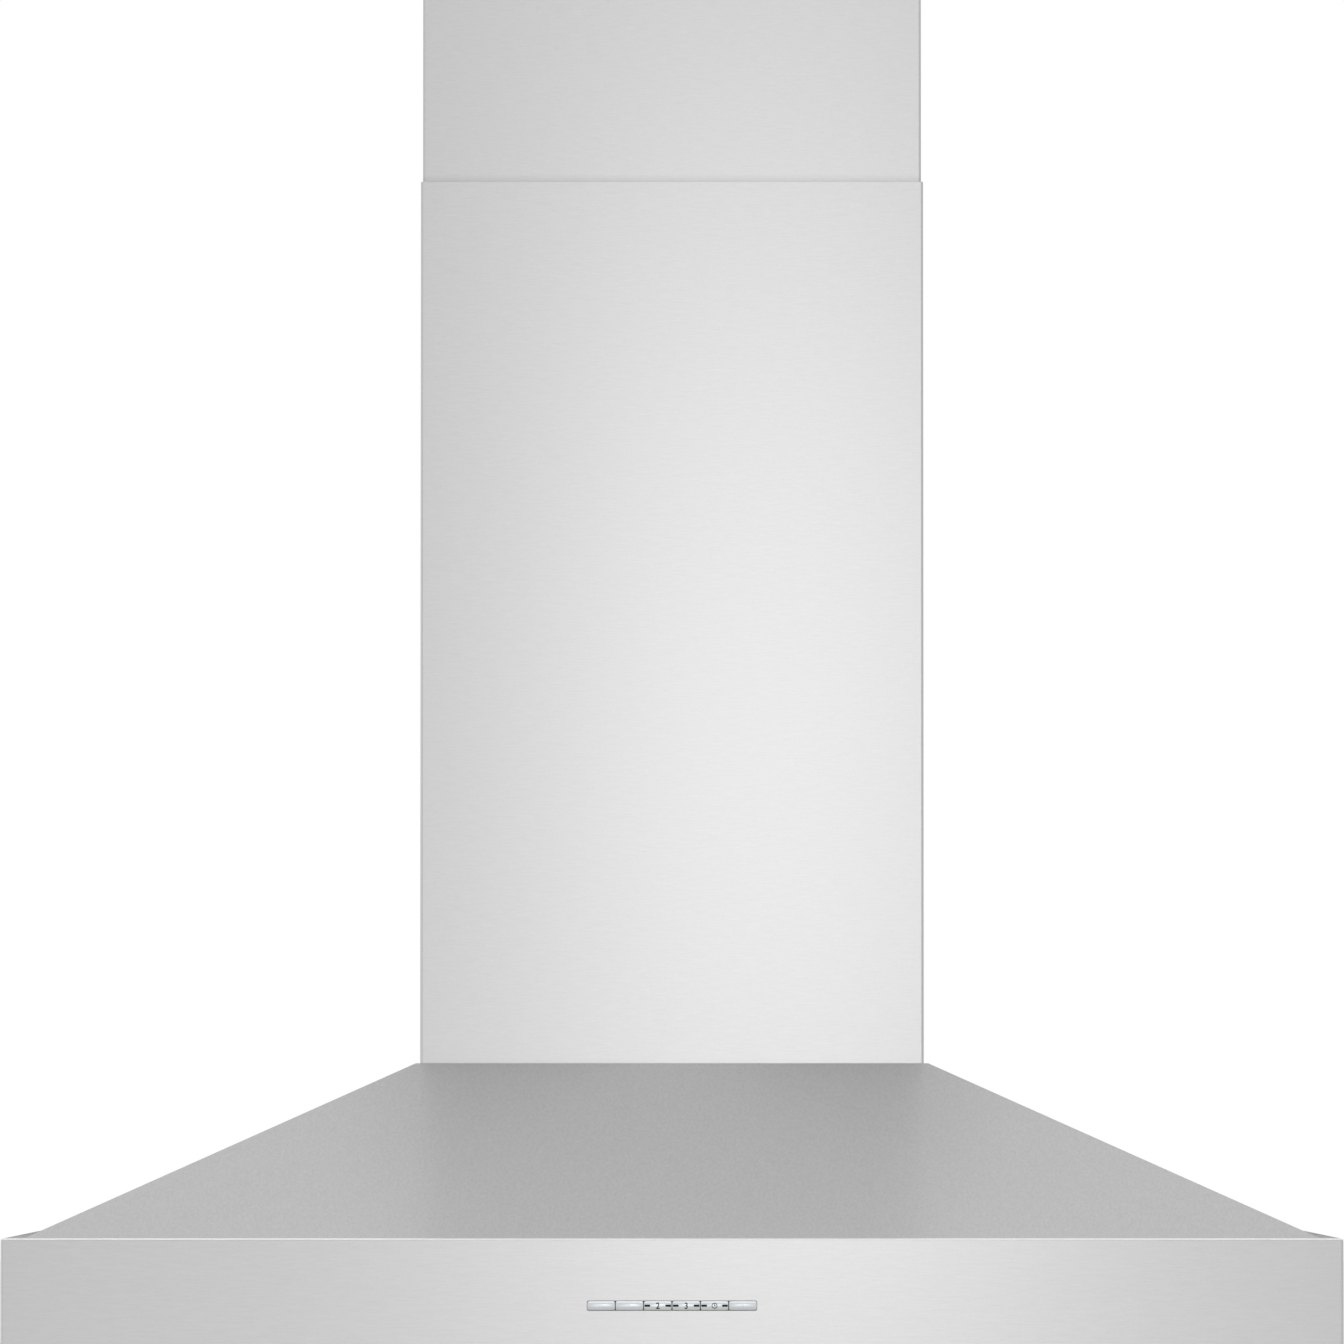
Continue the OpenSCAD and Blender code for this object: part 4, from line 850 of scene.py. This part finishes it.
class HOOD_OT_studio(bpy.types.Operator):
    """Set up the floor, the light and the camera at the photo's viewing angle"""
    bl_idname = "hood.studio"
    bl_label = "Studio"

    def execute(self, context):
        studio = context.scene.hood_studio
        context.scene.view_settings.view_transform = "Standard"
        context.scene.world = self.white_room(studio)

        camera = bpy.data.objects.new("photo_camera", bpy.data.cameras.new("photo_camera"))
        camera.data.lens = studio.camera_lens
        camera.data.sensor_width = studio.camera_sensor
        camera.data.clip_end = studio.camera_reach
        camera.location = (0, -studio.camera_distance, studio.camera_height)
        camera.rotation_euler = (math.pi / 2 + studio.camera_tilt, 0, 0)
        context.scene.collection.objects.link(camera)
        context.scene.camera = camera

        ground = bmesh.new()
        bmesh.ops.create_grid(ground, x_segments=1, y_segments=1, size=studio.floor_reach)
        bmesh.ops.translate(ground, verts=ground.verts, vec=(0, 0, -studio.floor_drop))
        self.stage_piece(context, "floor", ground, self.painted_floor(studio))

        # A grey card behind the hood, which the ends of the ledge mirror as dark corners
        card = bmesh.new()
        place = Matrix.Translation((0, studio.card_place, studio.card_rise))
        upright = place @ Matrix.Rotation(math.pi / 2, 4, "X")
        stretch = Matrix.Diagonal((studio.card_width, studio.card_height, 1, 1))
        bmesh.ops.create_grid(card, x_segments=1, y_segments=1, size=0.5, matrix=upright @ stretch)
        grey = surface("grey_card", studio.card, grain((30, 30, 30)),
                       shades=(0.95, 1.0), gloss=(0.8, 0.9), depth=0.1)
        self.stage_piece(context, "grey_card", card, grey).visible_camera = False

        for name, (place, turn, size, watts) in LAMPS.items():
            light = bpy.data.lights.new(name, "AREA")
            light.shape = "RECTANGLE"
            light.size, light.size_y = size
            light.energy = watts
            lamp = bpy.data.objects.new(name, light)
            lamp.location = place
            lamp.rotation_euler = turn
            context.scene.collection.objects.link(lamp)
        return {"FINISHED"}

    @staticmethod
    def stage_piece(context, name, shape, material):
        """Turns a bmesh into a piece of the studio."""
        mesh = bpy.data.meshes.new(name)
        shape.to_mesh(mesh)
        shape.free()
        mesh.materials.append(material)
        piece = bpy.data.objects.new(name, mesh)
        context.scene.collection.objects.link(piece)
        return piece

    @staticmethod
    def white_room(studio):
        """A white background that also lights the hood evenly from all round."""
        world = bpy.data.worlds.new("even_white_room")
        world.use_nodes = True
        tree = world.node_tree
        tree.nodes.clear()
        path = add_node(tree, "ShaderNodeLightPath")
        mirrored = add_node(tree, "ShaderNodeMath", {
            0: path.outputs["Is Glossy Ray"], 1: path.outputs["Is Transmission Ray"]}, operation="MAXIMUM")
        shown = add_node(tree, "ShaderNodeMath", {
            0: path.outputs["Is Camera Ray"], 1: mirrored.outputs[0]}, operation="MAXIMUM")
        strength = add_node(tree, "ShaderNodeMapRange", {
            "Value": shown.outputs[0], "To Min": studio.room_light, "To Max": 1.0})
        room = add_node(tree, "ShaderNodeBackground", {
            "Color": (1, 1, 1, 1), "Strength": strength.outputs[0]})
        add_node(tree, "ShaderNodeOutputWorld", {"Surface": room.outputs[0]})
        return world

    @staticmethod
    def painted_floor(studio):
        """Pale painted floor with a faint mottle, clear from below so that it never hides the hood."""
        material = surface("painted_floor", studio.floor, grain((300, 300, 300)),
                           shades=(0.98, 1.0), gloss=(0.75, 0.85), depth=0.1)
        tree = material.node_tree
        paint = next(node for node in tree.nodes if node.type == "BSDF_PRINCIPLED")
        glow = add_node(tree, "ShaderNodeEmission", {"Color": (1, 1, 1, 1), "Strength": 1.0})
        path = add_node(tree, "ShaderNodeLightPath")
        seen = add_node(tree, "ShaderNodeMath", {
            0: path.outputs["Is Camera Ray"], 1: path.outputs["Is Glossy Ray"]}, operation="MAXIMUM")
        white = add_node(tree, "ShaderNodeMath", {
            0: seen.outputs[0], 1: studio.floor_glow}, operation="MULTIPLY")
        pale = add_node(tree, "ShaderNodeMixShader", {
            0: white.outputs[0], 1: paint.outputs[0], 2: glow.outputs[0]})
        under = add_node(tree, "ShaderNodeNewGeometry")
        clear = add_node(tree, "ShaderNodeBsdfTransparent")
        both = add_node(tree, "ShaderNodeMixShader", {
            0: under.outputs["Backfacing"], 1: pale.outputs[0], 2: clear.outputs[0]})
        out = next(node for node in tree.nodes if node.type == "OUTPUT_MATERIAL")
        tree.links.new(both.outputs[0], out.inputs["Surface"])
        return material


class HOOD_OT_sheet_metal(bpy.types.Operator):
    """Finish the canopy, the chimney and everything that is folded from sheet"""
    bl_idname = "hood.sheet_metal"
    bl_label = "Sheet metal"

    def execute(self, context):
        dress(("canopy_shell",), folded_stainless)
        dress(("lower_cover",), upright_stainless)
        dress(("upper_cover",), seam_shaded_stainless)
        dress(("under_panel",), level_stainless)
        dress(("rear_panel", "wall_bracket", "cover_angle_left", "cover_angle_right",
               "blower_box", "junction_box", "junction_cover"), galvanised_sheet)
        dress(("hang_plate_left", "hang_plate_right"), zinc_plated_steel)
        return {"FINISHED"}


class HOOD_OT_blower(bpy.types.Operator):
    """Finish the blower, its motor, the duct collar and the damper"""
    bl_idname = "hood.blower"
    bl_label = "Blower and damper"

    def execute(self, context):
        dress(("scroll_left", "scroll_right", "inlet_ring_left", "inlet_ring_right", "outlet_collar"),
              moulded_plastic)
        dress(("impeller",), galvanised_sheet)
        dress(("motor_shaft", "damper_spindle"), ground_steel)
        dress(("motor_body",), cast_aluminium)
        dress(("motor_bracket", "capacitor_clip"), zinc_plated_steel)
        dress(("capacitor",), white_plastic)
        dress(("damper_flap_front", "damper_flap_rear"), rolled_aluminium)
        return {"FINISHED"}


class HOOD_OT_lamps(bpy.types.Operator):
    """Finish the lamps, their driver and the power module"""
    bl_idname = "hood.lamps"
    bl_label = "Lamps"

    def execute(self, context):
        dress(["lamp_bezel_" + side for side in SIDES], polished_chrome)
        dress(["lamp_lens_" + side for side in SIDES], frosted_glass)
        dress(["lamp_heat_sink_" + side for side in SIDES], cast_aluminium)
        dress(("lamp_driver",), white_plastic)
        dress(("power_module",), moulded_plastic)
        return {"FINISHED"}


class HOOD_OT_filters(bpy.types.Operator):
    """Finish the filter frames and latches, and build their expanded metal"""
    bl_idname = "hood.filters"
    bl_label = "Filters"

    def execute(self, context):
        dress(["filter_frame_" + side for side in FILTERS], rolled_aluminium)
        dress(["filter_latch_" + side for side in FILTERS], moulded_plastic)
        for side in FILTERS:
            new_piece("expanded_metal_" + side, filter_stack(side, context.scene.hood_sizes),
                      "filter_" + side, expanded_aluminium, ["filter_mesh_" + side])
        return {"FINISHED"}


class HOOD_OT_controls(bpy.types.Operator):
    """Finish the control housing, the board and its switches"""
    bl_idname = "hood.controls"
    bl_label = "Controls"

    def execute(self, context):
        dress(("control_housing", "key_switches"), moulded_plastic)
        dress(("control_board",), circuit_board)
        return {"FINISHED"}


class HOOD_OT_buttons(bpy.types.Operator):
    """Build the six push buttons and their printed marks"""
    bl_idname = "hood.buttons"
    bl_label = "Buttons"

    def execute(self, context):
        sizes = context.scene.hood_sizes
        for key in KEYS:
            body = "key_" + key
            ink = dark_print if key in DARK_MARKS else pale_print
            new_piece("key_cap_" + key, key_cap(key, sizes), body, button_plating,
                      ["button_" + key])
            new_piece("key_holder_" + key, key_holder(key, sizes), body, grey_plastic)
            new_piece("key_mark_" + key, key_mark(key, sizes), body, ink)
        return {"FINISHED"}


class HOOD_OT_screws(bpy.types.Operator):
    """Build the screws with their cross recesses"""
    bl_idname = "hood.screws"
    bl_label = "Screws"

    def execute(self, context):
        for node, body in SCREWS.items():
            lot = bmesh.new()
            for points in loose_parts(node):
                seat, reach, radius = screw_seat(points)
                one = screw(radius, reach, context.scene.hood_sizes)
                merge_in(lot, one, seat)
                one.free()
            new_piece("cross_" + node, lot, body, zinc_plated_steel, [node])
        return {"FINISHED"}


class HOOD_PT_sidebar(bpy.types.Panel):
    """Lists the steps that dress the hood"""
    bl_label = "Wall mount range hood"
    bl_idname = "HOOD_PT_sidebar"
    bl_space_type = "VIEW_3D"
    bl_region_type = "UI"
    bl_category = "Hood"

    def draw(self, context):
        for step in STEPS:
            self.layout.operator(step.bl_idname)


STEPS = (
    HOOD_OT_studio, HOOD_OT_sheet_metal, HOOD_OT_blower, HOOD_OT_lamps,
    HOOD_OT_filters, HOOD_OT_controls, HOOD_OT_buttons, HOOD_OT_screws,
)
SETTINGS = {"hood_finishes": HoodFinishes, "hood_sizes": HoodSizes, "hood_studio": HoodStudio}


def register():
    """Makes the add-on's classes and settings known to Blender."""
    for group in (*SETTINGS.values(), *STEPS, HOOD_PT_sidebar):
        bpy.utils.register_class(group)
    for name, group in SETTINGS.items():
        setattr(bpy.types.Scene, name, bpy.props.PointerProperty(type=group))


def unregister():
    """Takes the add-on's settings and classes away again."""
    for name in SETTINGS:
        delattr(bpy.types.Scene, name)
    for group in (HOOD_PT_sidebar, *reversed(STEPS), *reversed(SETTINGS.values())):
        bpy.utils.unregister_class(group)


def main():
    """Dresses the frame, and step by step."""
    register()
    bpy.ops.hood.studio()
    bpy.ops.hood.sheet_metal()
    bpy.ops.hood.blower()
    bpy.ops.hood.lamps()
    bpy.ops.hood.filters()
    bpy.ops.hood.controls()
    bpy.ops.hood.buttons()
    bpy.ops.hood.screws()


if __name__ == "__main__":
    main()
